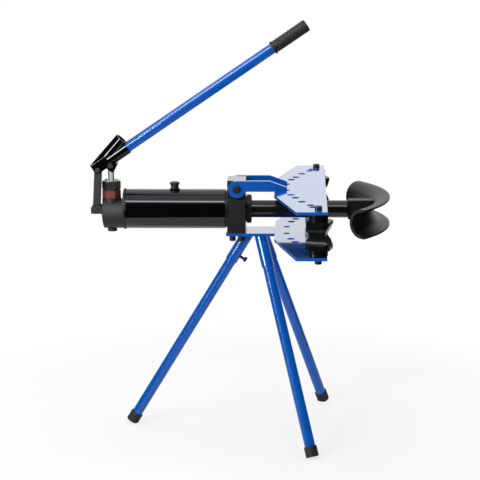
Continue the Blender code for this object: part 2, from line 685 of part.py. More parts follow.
def make_upper_frame():
    """The upper wing plate and the two arms that it swings up on."""
    wing_plate("upper_wing_plate", UPPER_PLATE_TOP_Z - PLATE_THICKNESS / 2)
    seat = UPPER_PLATE_TOP_Z + SEAT_GAP
    under = ARM_EYE_Z - ARM_BELOW_EYE
    top = ARM_EYE_Z + ARM_EYE_RADIUS
    rear_stop = PLATE_REAR_X - SEAT_GAP
    meet = math.degrees(math.asin(ARM_BELOW_EYE / ARM_EYE_RADIUS))
    outline = arc((ARM_EYE_X, ARM_EYE_Z), ARM_EYE_RADIUS, 90, 360 - meet, 18)
    outline += [(rear_stop, under), (rear_stop, seat), (ARM_EYE_X + ARM_TIP_REACH, seat),
                (ARM_EYE_X + ARM_TIP_REACH, seat + ARM_TIP_HEIGHT),
                (ARM_EYE_X + ARM_SHOULDER_REACH, top)]
    hole = circle_loop((ARM_EYE_X, ARM_EYE_Z), ARM_BOLT_RADIUS + RUNNING_GAP, 20)
    for place, side in (("near", -1), ("far", 1)):
        arm = slab(f"arm_{place}", [outline, hole], ARM_THICKNESS, upright(side * ARM_MIDDLE_Y))
        finish(arm, "blue_paint")
        shank = ARM_THICKNESS + ARM_BOLT_DEPTH
        head = ARM_BOLT_HEAD_LENGTH
        profile = [(0, shank), (ARM_BOLT_RADIUS, shank), (ARM_BOLT_RADIUS, 0),
                   (ARM_BOLT_HEAD_RADIUS, 0), (ARM_BOLT_HEAD_RADIUS, -head),
                   (ARM_BOLT_BOSS_RADIUS, -head),
                   (ARM_BOLT_BOSS_RADIUS, -head - ARM_BOLT_BOSS_LENGTH),
                   (0, -head - ARM_BOLT_BOSS_LENGTH)]
        start = (ARM_EYE_X, side * (ARM_OUTER_Y + RUNNING_GAP), ARM_EYE_Z)
        finish(turned(f"arm_bolt_{place}", profile, start, (0, -side, 0), 20), "black_oxide")


def make_pin(name, side):
    start = BAR_UNDER_Z - PIN_BELOW_PLATE
    length = UPPER_PLATE_TOP_Z + PIN_ABOVE_PLATE - start
    pin = turned(name, chamfered(PIN_RADIUS, length, PIN_CHAMFER), (PIN_X, side * PIN_Y, start),
                 Z_AXIS, 20)
    return finish(pin, "black_oxide")


def groove_cutter(name, size, face, direction, placement, middle):
    """A round bar that leaves a pipe groove of a given radius and depth in a face."""
    radius, depth = size
    centre = Vector(direction) * (face + radius - depth) + Vector((0, 0, middle))
    along = Vector((-direction[1], direction[0], 0))
    reach = 2 * BLOCK_PIPE_FACE
    start = placement @ (centre - along * reach)
    return rod(name, radius, start, placement.to_3x3() @ along, 2 * reach, 28)


def vee_cutter(name, placement, middle):
    """The big vee groove: straight flanks that meet in a small round root."""
    face = BLOCK_PIPE_FACE
    half = VEE_OPENING / 2
    slope = math.atan2(VEE_DEPTH, half)
    mouth = half + CUT_OVERRUN / math.tan(slope)
    root_x = face - VEE_DEPTH
    root = arc((root_x + VEE_ROOT_RADIUS, 0), VEE_ROOT_RADIUS, 90 + math.degrees(slope),
               270 - math.degrees(slope), 4)
    outline = [(face + CUT_OVERRUN, mouth)] + root + [(face + CUT_OVERRUN, -mouth)]
    turn = placement @ Matrix.Translation((0, 0, middle)) @ Matrix.Rotation(math.pi / 2, 4, "X")
    return slab(name, [outline], 4 * BLOCK_PIPE_FACE, turn)


def make_counter_block(name, side):
    """A turning counter-block: eight-sided body, two round collars, one groove on each face."""
    bottom = BAR_TOP_Z + SEAT_GAP
    top = UPPER_PLATE_UNDER_Z - SEAT_GAP
    body_low = BAR_TOP_Z + BLOCK_LOWER_COLLAR
    body_high = UPPER_PLATE_UNDER_Z - BLOCK_UPPER_COLLAR
    middle = (body_low + body_high) / 2
    mirror = -side
    outline = [(BLOCK_NEAR_HALF, -BLOCK_NEAR_FACE), (BLOCK_PIPE_FACE, -BLOCK_PIPE_HALF),
               (BLOCK_PIPE_FACE, BLOCK_PIPE_HALF), (BLOCK_FAR_HALF, BLOCK_FAR_FACE),
               (-BLOCK_FAR_HALF, BLOCK_FAR_FACE), (-BLOCK_REAR_FACE, BLOCK_REAR_HALF),
               (-BLOCK_REAR_FACE, -BLOCK_REAR_HALF), (-BLOCK_NEAR_HALF, -BLOCK_NEAR_FACE)]
    outline = [(x, y * mirror) for x, y in outline]
    place = Matrix.Translation((PIN_X, side * PIN_Y, 0))
    place = place @ Matrix.Rotation(math.radians(-BLOCK_TURN_DEG * mirror), 4, "Z")
    block = slab(name, [outline], body_high - body_low, place @ level(middle))
    join(block, rod(name + "_collars", BLOCK_COLLAR_RADIUS, place @ Vector((0, 0, bottom)), Z_AXIS,
                    top - bottom, 28))
    cut(block, rod(name + "_bore", PIN_RADIUS + RUNNING_GAP,
                   place @ Vector((0, 0, bottom - CUT_OVERRUN)), Z_AXIS,
                   top - bottom + 2 * CUT_OVERRUN, 20))
    near = (0, -mirror, 0)
    far = (0, mirror, 0)
    cut(block, groove_cutter(name + "_near", NEAR_GROOVE, BLOCK_NEAR_FACE, near, place, middle))
    cut(block, groove_cutter(name + "_far", FAR_GROOVE, BLOCK_FAR_FACE, far, place, middle))
    cut(block, groove_cutter(name + "_rear", REAR_GROOVE, BLOCK_REAR_FACE, (-1, 0, 0), place, middle))
    cut(block, vee_cutter(name + "_vee", place, middle))
    return finish(block, "former_cast")


def make_ram():
    """Ram with its nose spigot, and the piston and seal on its inner end."""
    rod_start = PISTON_FRONT_X
    length = RAM_END_X - rod_start
    shape = [(0, length + RAM_NOSE_LENGTH), (RAM_NOSE_RADIUS, length + RAM_NOSE_LENGTH),
             (RAM_NOSE_RADIUS, length), (RAM_RADIUS - RAM_CHAMFER, length),
             (RAM_RADIUS, length - RAM_CHAMFER), (RAM_RADIUS, 0), (PISTON_SPIGOT_RADIUS, 0),
             (PISTON_SPIGOT_RADIUS, -PISTON_LENGTH), (0, -PISTON_LENGTH)]
    finish(turned("ram", shape, on_axis(rod_start), X_AXIS, 32), "ram_steel")

    low = SEAT_GAP
    seal_low = (PISTON_LENGTH - PISTON_SEAL_WIDTH) / 2
    seal_high = seal_low + PISTON_SEAL_WIDTH
    floor = PISTON_RADIUS - PISTON_SEAL_DEPTH
    bore = PISTON_SPIGOT_RADIUS + SEAT_GAP
    end = PISTON_LENGTH - SEAT_GAP
    shape = [(PISTON_RADIUS, end), (PISTON_RADIUS, seal_high), (floor, seal_high),
             (floor, seal_low), (PISTON_RADIUS, seal_low), (PISTON_RADIUS, low), (bore, low),
             (bore, end)]
    start = on_axis(rod_start - PISTON_LENGTH)
    finish(turned("piston", shape, start, X_AXIS, 32, closed=True), "steel")
    seal = pipe("piston_seal", PISTON_RADIUS, floor + SEAT_GAP, on_axis(start.x + seal_low + SEAT_GAP),
                X_AXIS, PISTON_SEAL_WIDTH - 2 * SEAT_GAP, 32)
    finish(seal, "seal")


def make_former():
    """The bend former: a deep pipe groove swept round an arc, with a hub that seats on the ram."""
    axis_x = RAM_END_X + FORMER_RIM_REACH - FORMER_RIM_RADIUS
    groove_r = FORMER_RIM_RADIUS - FORMER_LIP
    half = FORMER_HALF_HEIGHT
    back = arc((groove_r, 0), half, 90, 270, 12)
    front = arc((groove_r, 0), FORMER_GROOVE_RADIUS, 270, 90, 12)
    section = [(FORMER_RIM_RADIUS, half)] + back + [(FORMER_RIM_RADIUS, -half)]
    mouth = FORMER_GROOVE_RADIUS + FORMER_MOUTH_FLARE
    section += [(FORMER_RIM_RADIUS, -mouth)] + front
    section += [(FORMER_RIM_RADIUS, mouth)]
    swing = math.radians(FORMER_HALF_ANGLE_DEG)
    bm = bmesh.new()
    verts = [bm.verts.new((r, 0, z)) for r, z in section]
    edges = [bm.edges.new((a, b)) for a, b in zip(verts, verts[1:] + verts[:1])]
    bmesh.ops.rotate(bm, verts=verts, cent=(0, 0, 0), matrix=Matrix.Rotation(-swing, 3, "Z"))
    bmesh.ops.spin(bm, geom=verts + edges, cent=(0, 0, 0), axis=(0, 0, 1), angle=2 * swing,
                   steps=26, use_duplicate=False)
    rims = [edge for edge in bm.edges if edge.is_boundary]
    bmesh.ops.holes_fill(bm, edges=rims, sides=0)
    bmesh.ops.recalc_face_normals(bm, faces=bm.faces)
    former = object_from("bend_former", bm, Matrix.Translation((axis_x, 0, RAM_AXIS_HEIGHT)))
    smooth(former)

    hub_start = RAM_END_X + SEAT_GAP
    hub_end = axis_x + groove_r - half + HUB_BITE
    hub = box("former_hub", (hub_start, -HUB_HALF_WIDTH, RAM_AXIS_HEIGHT - HUB_HALF_HEIGHT),
              (hub_end, HUB_HALF_WIDTH, RAM_AXIS_HEIGHT + HUB_HALF_HEIGHT))
    join(former, hub)
    cut(former, rod("hub_bore", RAM_NOSE_RADIUS + SEAT_GAP, on_axis(hub_start - CUT_OVERRUN), X_AXIS,
                    RAM_NOSE_LENGTH + CUT_OVERRUN + SEAT_GAP, 20))
    finish(former, "former_cast")


def make_pump():
    """Pump body with its ears, the two gland nuts, the ring and screws on top and the drain plug."""
    shape = [(0, PUMP_LENGTH - SEAT_GAP), (PUMP_RADIUS, PUMP_LENGTH - SEAT_GAP),
             (PUMP_RADIUS, PUMP_CHAMFER), (PUMP_RADIUS - PUMP_CHAMFER, 0), (0, 0)]
    start = Vector((PUMP_REAR_X, 0, PUMP_AXIS_Z))
    body = turned("pump_body", shape, start, X_AXIS, 36)
    boss_start = (PLUNGER_X, 0, PUMP_AXIS_Z)
    join(body, rod("pump_boss", BOSS_RADIUS, boss_start, Z_AXIS, BOSS_TOP_Z - PUMP_AXIS_Z, 28))
    ear_root = PUMP_REAR_X + EAR_ROOT
    tip = PUMP_REAR_X - EAR_LENGTH
    low = EAR_PIVOT_Z - EAR_HALF_HEIGHT
    high = EAR_PIVOT_Z + EAR_HALF_HEIGHT
    slope = box("pump_rear_slope", (-EAR_LENGTH, -BOSS_RADIUS * 2, -2 * PUMP_RADIUS),
                (0, BOSS_RADIUS * 2, 0))
    turn = Matrix.Rotation(-math.radians(PUMP_REAR_SLOPE_DEG), 4, "Y")
    slope.matrix_world = Matrix.Translation((PUMP_REAR_X, 0, low)) @ turn
    cut(body, slope)
    outline = [(ear_root, low), (ear_root, high), (tip + EAR_CORNER, high), (tip, high - EAR_CORNER),
               (tip, low + EAR_CORNER / 2), (tip + EAR_CORNER / 2, low)]
    hole = circle_loop((EAR_PIVOT_X, EAR_PIVOT_Z), LINK_PIN_RADIUS + SEAT_GAP, 16)
    for side in (-1, 1):
        middle = side * (EAR_INNER_Y + EAR_OUTER_Y) / 2
        join(body, slab(f"pump_ear_{side}", [outline, hole], EAR_THICKNESS, upright(middle)))
    bore_start = (PLUNGER_X, 0, BOSS_TOP_Z - PLUNGER_BORE_DEPTH)
    cut(body, rod("plunger_bore", PLUNGER_RADIUS + RUNNING_GAP, bore_start, Z_AXIS,
                  PLUNGER_BORE_DEPTH + CUT_OVERRUN, 24))
    valve_start = (valve_x(), PUMP_RADIUS - VALVE_STEM_LENGTH - SEAT_GAP, valve_z())
    cut(body, rod("valve_bore", VALVE_STEM_RADIUS + RUNNING_GAP, valve_start, Y_AXIS,
                  VALVE_STEM_LENGTH + CUT_OVERRUN, 16))
    finish(body, "cast_grey")

    bore = PLUNGER_RADIUS + RUNNING_GAP
    lower = hex_nut("pump_nut", NUT_ACROSS_CORNERS, NUT_HEIGHT, bore,
                    (PLUNGER_X, 0, LOWER_NUT_Z), Z_AXIS, turn=math.radians(PUMP_NUT_TURN_DEG))
    finish(lower, "copper_plate")
    upper = hex_nut("gland_nut", NUT_ACROSS_CORNERS, NUT_HEIGHT, bore,
                    (PLUNGER_X, 0, UPPER_NUT_Z), Z_AXIS, turn=math.radians(GLAND_NUT_TURN_DEG))
    finish(upper, "block_black")
    ring = pipe("gland_ring", GLAND_RING_RADIUS, bore, (PLUNGER_X, 0, RING_Z), Z_AXIS,
                GLAND_RING_HEIGHT, 28)
    finish(ring, "zinc")
    for place, side in (("rear", -1), ("front", 1)):
        start = (PLUNGER_X + side * GLAND_SCREW_PITCH, 0, RING_Z + GLAND_RING_HEIGHT + SEAT_GAP)
        screw = rod(f"gland_screw_{place}", GLAND_SCREW_RADIUS, start, Z_AXIS, GLAND_SCREW_HEIGHT, 12)
        finish(screw, "zinc")
    plug_top = PUMP_AXIS_Z - PUMP_RADIUS - SEAT_GAP
    plug = turned("drain_plug", chamfered(DRAIN_PLUG_RADIUS, DRAIN_PLUG_HEIGHT, DRAIN_PLUG_CHAMFER),
                  (PLUNGER_X, 0, plug_top - DRAIN_PLUG_HEIGHT), Z_AXIS, 20)
    finish(plug, "black_oxide")


def valve_x():
    return PUMP_FRONT_X - VALVE_SETBACK


def valve_z():
    return PUMP_AXIS_Z - VALVE_BELOW_AXIS


def make_release_valve():
    """The release screw on the far side of the pump: stem, round knob and cross bar."""
    stem_start = PUMP_RADIUS - VALVE_STEM_LENGTH
    knob_start = PUMP_RADIUS + SEAT_GAP
    knob_end = knob_start + VALVE_KNOB_LENGTH
    face = VALVE_KNOB_RADIUS - VALVE_KNOB_CHAMFER
    shape = [(0, knob_end), (face, knob_end), (VALVE_KNOB_RADIUS, knob_end - VALVE_KNOB_CHAMFER),
             (VALVE_KNOB_RADIUS, knob_start + VALVE_KNOB_CHAMFER), (face, knob_start),
             (VALVE_STEM_RADIUS, knob_start), (VALVE_STEM_RADIUS, stem_start), (0, stem_start)]
    valve = turned("release_valve", shape, (valve_x(), 0, valve_z()), Y_AXIS, 20)
    middle = knob_start + VALVE_KNOB_LENGTH / 2
    start = (valve_x() - VALVE_BAR_LENGTH / 2, middle, valve_z())
    join(valve, rod("valve_bar", VALVE_BAR_RADIUS, start, X_AXIS, VALVE_BAR_LENGTH, 12))
    finish(valve, "black_oxide")


def headed_pin(name, radius, head_radius, half_width, x, z, slot):
    """A pin across the linkage with a flat head at each end."""
    head = LINK_PIN_HEAD_LENGTH
    face = half_width + SEAT_GAP
    shape = [(0, face + head), (head_radius, face + head), (head_radius, face), (radius, face),
             (radius, -face), (head_radius, -face), (head_radius, -face - head), (0, -face - head)]
    return finish(turned(name, shape, (x, 0, z), Y_AXIS, 16), slot)


def make_linkage():
    """Link, plunger and the three pivot pins."""
    foot = Vector((EAR_PIVOT_X, 0, EAR_PIVOT_Z))
    head = Vector((LEVER_X, 0, LEVER_Z))
    lean = math.degrees(math.atan2(head.z - foot.z, head.x - foot.x))
    radius = LINK_WIDTH / 2
    outline = arc((foot.x, foot.z), radius, lean + 90, lean + 270, 10)
    outline += arc((head.x, head.z), radius, lean - 90, lean + 90, 10)
    holes = [circle_loop((end.x, end.z), LINK_PIN_RADIUS + RUNNING_GAP, 16) for end in (foot, head)]
    link = slab("link_bar", [outline] + holes, LINK_THICKNESS, upright(0))
    finish(link, "cast_grey")
    headed_pin("lower_link_pin", LINK_PIN_RADIUS, LINK_PIN_HEAD_RADIUS, EAR_OUTER_Y,
               foot.x, foot.z, "black_oxide")
    headed_pin("upper_link_pin", LINK_PIN_RADIUS, LINK_PIN_HEAD_RADIUS, CHEEK_OUTER_Y,
               head.x, head.z, "black_oxide")

    bottom = UPPER_NUT_Z - PLUNGER_BELOW_NUT
    shape = chamfered(PLUNGER_RADIUS, PLUNGER_PIN_Z - bottom, PLUNGER_CHAMFER)
    plunger = turned("plunger", shape, (PLUNGER_X, 0, bottom), Z_AXIS, 24)
    half = LINK_THICKNESS / 2
    eye = rod("plunger_eye", PLUNGER_EYE_RADIUS, (PLUNGER_X, -half, PLUNGER_PIN_Z), Y_AXIS, 2 * half, 24)
    join(plunger, eye)
    cut(plunger, rod("plunger_eye_hole", PLUNGER_PIN_RADIUS + SEAT_GAP,
                     (PLUNGER_X, -CHEEK_OUTER_Y, PLUNGER_PIN_Z), Y_AXIS, 2 * CHEEK_OUTER_Y, 16))
    finish(plunger, "chrome")
    headed_pin("plunger_pin", PLUNGER_PIN_RADIUS, PLUNGER_PIN_HEAD_RADIUS, CHEEK_OUTER_Y,
               PLUNGER_X, PLUNGER_PIN_Z, "black_oxide")


def lever_point(along, above):
    """A point in the lever's own directions: along the handle, and square to it, from its pivot."""
    angle = math.radians(HANDLE_ANGLE_DEG)
    ahead = Vector((math.cos(angle), 0, math.sin(angle)))
    square = Vector((-math.sin(angle), 0, math.cos(angle)))
    return Vector((LEVER_X, 0, LEVER_Z)) + ahead * along + square * above


def lever_direction(turn_deg=0.0):
    angle = math.radians(HANDLE_ANGLE_DEG + turn_deg)
    return Vector((math.cos(angle), 0, math.sin(angle)))


def lever_box(name, low, high):
    """A box in the lever's own directions."""
    shape = box(name, low, high)
    turn = Matrix.Rotation(-math.radians(HANDLE_ANGLE_DEG), 4, "Y")
    shape.matrix_world = Matrix.Translation((LEVER_X, 0, LEVER_Z)) @ turn
    return shape


def make_lever_head():
    """The welded lever head: a bent channel, the handle's socket and the steep second socket."""
    outer = HANDLE_RADIUS + RUNNING_GAP + SOCKET_WALL
    web_top = HANDLE_ABOVE_PIVOT + outer - WEB_BELOW_SOCKET
    corners = [(-HEAD_TAIL, web_top)] + list(CHEEK_OUTLINE) + [(HEAD_END, web_top)]
    outline = [(lever_point(*corner).x, lever_point(*corner).z) for corner in corners]
    width = 2 * CHEEK_OUTER_Y
    head = slab("lever_head", [outline], width, upright(0))
    socket_start = lever_point(SOCKET_START - SOCKET_ROOT, HANDLE_ABOVE_PIVOT)
    ahead = lever_direction()
    join(head, rod("front_socket", outer, socket_start, ahead,
                   SOCKET_END - SOCKET_START + SOCKET_ROOT, 28))

    steep = lever_direction(REAR_SOCKET_TURN_DEG)
    end = lever_point(*REAR_SOCKET_END)
    rear = rod("rear_socket", outer, end - steep * REAR_SOCKET_LENGTH, steep, REAR_SOCKET_LENGTH, 28)
    bore = HANDLE_RADIUS + RUNNING_GAP
    cut(rear, rod("rear_socket_bore", bore, end - steep * REAR_SOCKET_DEPTH, steep,
                  REAR_SOCKET_DEPTH + CUT_OVERRUN, 28))
    weld_plane = web_top - WELD_BITE
    reach = REAR_SOCKET_LENGTH
    side = outer + CUT_OVERRUN
    cut(rear, lever_box("rear_socket_trim", (-reach, -side, weld_plane - reach),
                        (SOCKET_START, side, weld_plane)))
    cut(rear, lever_box("rear_socket_end_trim", (-reach, -side, -reach), (-HEAD_TAIL, side, reach)))
    join(head, rear)

    channel = lever_box("head_channel", (-HEAD_TAIL - CUT_OVERRUN, -CHEEK_INNER_Y, -HEAD_END),
                        (HEAD_CHANNEL_END, CHEEK_INNER_Y, web_top - WEB_THICKNESS))
    cut(head, channel)
    play = PLUNGER_PIN_RADIUS + PLUNGER_PIN_PLAY
    for name, radius, x, z in (("lever_pivot_hole", LINK_PIN_RADIUS + RUNNING_GAP, LEVER_X, LEVER_Z),
                               ("plunger_pin_hole", play, PLUNGER_X, PLUNGER_PIN_Z)):
        cut(head, rod(name, radius, (x, -width, z), Y_AXIS, 2 * width, 16))
    cut(head, rod("front_socket_bore", bore, lever_point(SOCKET_END - SOCKET_DEPTH, HANDLE_ABOVE_PIVOT),
                  ahead, SOCKET_DEPTH + CUT_OVERRUN, 28))
    finish(head, "black_enamel")


def make_handle():
    """The pump handle and its rubber grip."""
    ahead = lever_direction()
    begin = SOCKET_END - SOCKET_DEPTH + SEAT_GAP
    end = GRIP_END - GRIP_WALL_END - SEAT_GAP
    start = lever_point(begin, HANDLE_ABOVE_PIVOT)
    tube = pipe("handle_tube", HANDLE_RADIUS, HANDLE_RADIUS - HANDLE_WALL, start, ahead, end - begin, 24)
    finish(tube, "blue_paint")
    length = GRIP_END - GRIP_START
    bore = HANDLE_RADIUS + SEAT_GAP
    flange = GRIP_FLANGE_LENGTH
    shape = [(0, length), (GRIP_RADIUS - GRIP_CHAMFER, length), (GRIP_RADIUS, length - GRIP_CHAMFER),
             (GRIP_RADIUS, flange), (GRIP_FLANGE_RADIUS, flange), (GRIP_FLANGE_RADIUS, 0),
             (bore, 0), (bore, length - GRIP_WALL_END), (0, length - GRIP_WALL_END)]
    grip = turned("handle_grip", shape, lever_point(GRIP_START, HANDLE_ABOVE_PIVOT), ahead, 24)
    finish(grip, "rubber")


def make_filler():
    """Filler boss on the tube's crown, and the vent plug that screws into it."""
    sag = TUBE_RADIUS - math.sqrt(TUBE_RADIUS ** 2 - FILLER_BOSS_RADIUS ** 2)
    low = TUBE_TOP_Z - sag - FILLER_BOSS_SINK
    high = TUBE_TOP_Z + FILLER_BOSS_RISE
    boss = pipe("filler_boss", FILLER_BOSS_RADIUS, FILLER_STEM_RADIUS + RUNNING_GAP,
                (FILLER_X, 0, low), Z_AXIS, high - low, 24)
    reach = FILLER_BOSS_RADIUS + CUT_OVERRUN
    cut(boss, rod("filler_boss_seat", TUBE_RADIUS + SEAT_GAP, on_axis(FILLER_X - reach), X_AXIS,
                  2 * reach, 64))
    finish(boss, "black_enamel")
    seat = high + SEAT_GAP
    neck = seat + FILLER_NECK_HEIGHT
    crown = neck + FILLER_CAP_HEIGHT
    foot = seat - FILLER_STEM_LENGTH
    shape = [(0, crown), (FILLER_CAP_RADIUS - FILLER_CAP_CHAMFER, crown),
             (FILLER_CAP_RADIUS, crown - FILLER_CAP_CHAMFER),
             (FILLER_CAP_RADIUS, neck), (FILLER_NECK_RADIUS, neck), (FILLER_NECK_RADIUS, seat),
             (FILLER_STEM_RADIUS, seat), (FILLER_STEM_RADIUS, foot), (0, foot)]
    shape = [(radius, height - seat) for radius, height in shape]
    finish(turned("filler_plug", shape, (FILLER_X, 0, seat), Z_AXIS, 24), "black_oxide")


def leg_line(name):
    """Top point and downward direction of a leg's axis."""
    azimuth, spread = LEGS[name]
    angle = math.radians(azimuth)
    out = Vector((math.cos(angle), math.sin(angle), 0))
    centre = Vector((TRIPOD_X, 0, 0))
    top = centre + out * LEG_TOP_SPREAD + Z_AXIS * BAR_UNDER_Z
    foot = centre + out * spread
    down = (foot - top).normalized()
    rim_drop = FOOT_RADIUS * math.sqrt(1 - down.z ** 2)
    foot_lift = rim_drop - FOOT_PRESS
    reach = (top.z - foot_lift) / -down.z
    return top, down, reach


def make_leg(name):
    """One leg of the tripod: welded socket, sliding tube, rubber foot and clamp screw."""
    top, down, reach = leg_line(name)
    outer = LEG_RADIUS + RUNNING_GAP + LEG_SOCKET_WALL
    start = top - down * LEG_SOCKET_CROWN
    socket = pipe(f"leg_socket_{name}", outer, LEG_RADIUS + RUNNING_GAP, start, down,
                  LEG_SOCKET_LENGTH + LEG_SOCKET_CROWN, 24)
    lid = BAR_UNDER_Z - SEAT_GAP
    size = LEG_SOCKET_LENGTH
    cut(socket, box(f"socket_trim_{name}", (top.x - size, top.y - size, lid),
                    (top.x + size, top.y + size, lid + size)))
    inward = screw_direction(name, down)
    screw_point = top + down * SCREW_FROM_TOP
    cut(socket, rod(f"screw_hole_{name}", SCREW_RADIUS + RUNNING_GAP,
                    screw_point, inward, outer + CUT_OVERRUN, 12))
    finish(socket, "blue_paint")

    tube_start = top + down * LEG_TOP_CLEARANCE
    tube_length = reach - FOOT_SOLE - SEAT_GAP - LEG_TOP_CLEARANCE
    tube = pipe(f"leg_tube_{name}", LEG_RADIUS, LEG_RADIUS - LEG_WALL, tube_start, down, tube_length, 24)
    finish(tube, "blue_paint")

    foot_end = top + down * reach
    profile = [(0, FOOT_SOLE), (LEG_RADIUS + SEAT_GAP, FOOT_SOLE),
               (LEG_RADIUS + SEAT_GAP, FOOT_LENGTH), (FOOT_RADIUS, FOOT_LENGTH),
               (FOOT_RADIUS, 0), (0, 0)]
    foot = turned(f"foot_{name}", profile, foot_end, -down, 24)
    size = 2 * FOOT_LENGTH
    cut(foot, box(f"floor_trim_{name}", (foot_end.x - size, foot_end.y - size, -size),
                  (foot_end.x + size, foot_end.y + size, 0)))
    finish(foot, "rubber")

    tip = LEG_RADIUS + SEAT_GAP
    head = SCREW_HEAD_START
    shape = [(0, head), (SCREW_RADIUS, head), (SCREW_RADIUS, tip), (0, tip)]
    screw = turned(f"leg_screw_{name}", shape, screw_point, inward, 12)
    hexagon = rod(f"screw_head_{name}", SCREW_HEAD_RADIUS,
                  screw_point + inward * (head - SCREW_HEAD_BITE), inward, SCREW_HEAD_LENGTH, 6)
    join(screw, hexagon)
    finish(screw, "black_oxide")


def screw_direction(name, down):
    """Square to the leg: inward and down in the leg's own upright plane, then turned about the leg."""
    flat = Vector((down.x, down.y, 0)).normalized()
    inward = (-flat * -down.z + Z_AXIS * -math.sqrt(1 - down.z ** 2)).normalized()
    turn = Matrix.Rotation(-math.radians(SCREW_TURN_DEG[name]), 3, down)
    return (turn @ inward).normalized()


def build():
    make_cylinder()
    make_return_spring()
    make_front_block()
    make_base()
    make_upper_frame()
    make_pin("pin_near", -1)
    make_pin("pin_far", 1)
    make_counter_block("counter_block_near", -1)
    make_counter_block("counter_block_far", 1)
    make_ram()
    make_former()
    make_pump()
    make_release_valve()
    make_linkage()
    make_lever_head()
    make_handle()
    make_filler()
    for name in LEGS:
        make_leg(name)
    bpy.context.view_layer.update()


build()
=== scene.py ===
"""Looks of a tripod hydraulic pipe bender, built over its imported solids.

Run as a script, it makes the detailed pieces, their finishes, the floor, lamps and camera.
Lengths are in metres. A third number on an outline's point is the radius of that corner.
"""

import json
import math
from collections import namedtuple

import bmesh
import bpy
from mathutils import Matrix, Vector


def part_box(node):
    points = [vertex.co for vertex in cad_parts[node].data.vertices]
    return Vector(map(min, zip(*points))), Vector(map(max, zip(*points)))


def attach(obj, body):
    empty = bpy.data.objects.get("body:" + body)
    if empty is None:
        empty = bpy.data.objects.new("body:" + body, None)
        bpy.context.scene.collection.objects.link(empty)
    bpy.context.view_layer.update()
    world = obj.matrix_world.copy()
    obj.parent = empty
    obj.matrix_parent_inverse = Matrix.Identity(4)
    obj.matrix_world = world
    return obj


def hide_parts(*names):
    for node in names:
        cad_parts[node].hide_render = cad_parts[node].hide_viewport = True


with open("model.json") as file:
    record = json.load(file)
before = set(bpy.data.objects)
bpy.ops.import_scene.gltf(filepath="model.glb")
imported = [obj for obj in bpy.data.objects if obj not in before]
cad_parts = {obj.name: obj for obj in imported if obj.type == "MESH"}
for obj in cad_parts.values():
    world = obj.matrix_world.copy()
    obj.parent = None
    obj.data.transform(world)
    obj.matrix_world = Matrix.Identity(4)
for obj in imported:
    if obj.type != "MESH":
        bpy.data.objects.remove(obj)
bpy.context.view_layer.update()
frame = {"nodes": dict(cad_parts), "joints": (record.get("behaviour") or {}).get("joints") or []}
JOINTS = {joint["name"]: joint for joint in frame["joints"]}

bl_info = {
    "name": "Pipe bender looks",
    "version": (1, 0, 0),
    "blender": (4, 5, 0),
    "location": "3D View > Sidebar > Pipe bender",
    "description": "Builds a hydraulic pipe bender's detailed pieces and finishes over its solids",
    "category": "Object",
}

X_AXIS = Vector((1, 0, 0))
Y_AXIS = Vector((0, 1, 0))
Z_AXIS = Vector((0, 0, 1))
RAM_AXIS_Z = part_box("ram")[0].z / 2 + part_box("ram")[1].z / 2
SEAT_GAP = 0.0003

# Steps round turned pieces, and across softened edges
ROUND = 96
SMALL_ROUND = 48
TUBE_ROUND = 72
LARGE_ROUND = 160
EDGE_STEPS = 3
CUT_EDGE_STEPS = 2

# Cylinder
RESERVOIR_WALL = 0.0040
FILLER_HOLE_RADIUS = 0.0105
COLLAR_BORE = 0.0403
COLLAR_ROUND = 128
FLANGE_RIM = 0.0064
FLANGE_STEP = 0.0062

# Front block, gland nut and arm bolts
LEDGE_ABOVE_AXIS = 0.0322
RAM_HOLE_RADIUS = 0.0236
RAM_NUT_BORE = 0.0235
RAM_NUT_CHAMFER = 0.0052
ARM_BOLT_SHANK = 0.0088
ARM_BOLT_HEAD = [(0, 0.0008), (0.0040, 0.0008), (0.0046, 0), (0.0062, 0), (0.0066, 0.0002),
                 (0.0066, 0.0015), (0.0088, 0.0017), (0.0100, 0.0019, 0.0004), (0.0108, 0.0026),
                 (0.0108, 0.0045), (ARM_BOLT_SHANK, 0.0045)]

# Base bar and its bolts
BAR_CORNER = 0.0025
BASE_BOLT_HOLE = 0.0053
BASE_BOLT_SHANK = 0.005
BASE_BOLT_HEAD = 0.0150
BASE_BOLT_FACE = [(0, 0.006), (0.0048, 0.006), (0.0048, 0), (0.0072, 0), (0.0085, 0.0011)]

# Wing plates and arms
PIN_STEPS = ((0.0436, 0.1045), (0.0554, 0.1410), (0.0723, 0.1915), (0.0939, 0.2351),
             (0.1004, 0.2590), (0.1130, 0.2895))
PIN_HOLE_RADIUS = 0.0102
TIP_HOLE = (0.0320, 0.0410, 0.0085)
PLATE_TAIL_HALF = 0.109
PLATE_TAPER_REACH = 0.0576
ARM_SHOULDER_REACH = 0.0859
ARM_TIP_REACH = 0.1322
ARM_TIP_HEIGHT = 0.0080
ARM_BELOW_EYE = 0.0060
ARM_EYE_BORE = 0.0092
PIN_CHAMFER = 0.0016

# Counter-blocks: each groove has a name, a facing, its face's distance, a radius and a depth
BLOCK_TURN_DEG = 15.0
BLOCK_OUTLINE = ((0.0190, -0.0270), (0.0330, -0.0200), (0.0330, 0.0200), (0.0190, 0.0300),
                 (-0.0190, 0.0300), (-0.0277, 0.0180), (-0.0277, -0.0180), (-0.0190, -0.0270))
BLOCK_BODY_LIFT = 0.0167
BLOCK_BODY_DROP = 0.0199
BLOCK_COLLAR_RADIUS = 0.0245
BLOCK_BORE = 0.0093
BLOCK_GROOVES = (("near", (0, -1), 0.0270, 0.0290, 0.0120),
                 ("far", (0, 1), 0.0300, 0.0170, 0.0110),
                 ("rear", (-1, 0), 0.0277, 0.0110, 0.0080))
VEE_FACE = 0.0330
VEE_HALF = 0.0285
VEE_DEPTH = 0.0140
VEE_ROOT_RADIUS = 0.004
CUTTER_LENGTH = 0.14
CUTTER_OVERRUN = 0.01

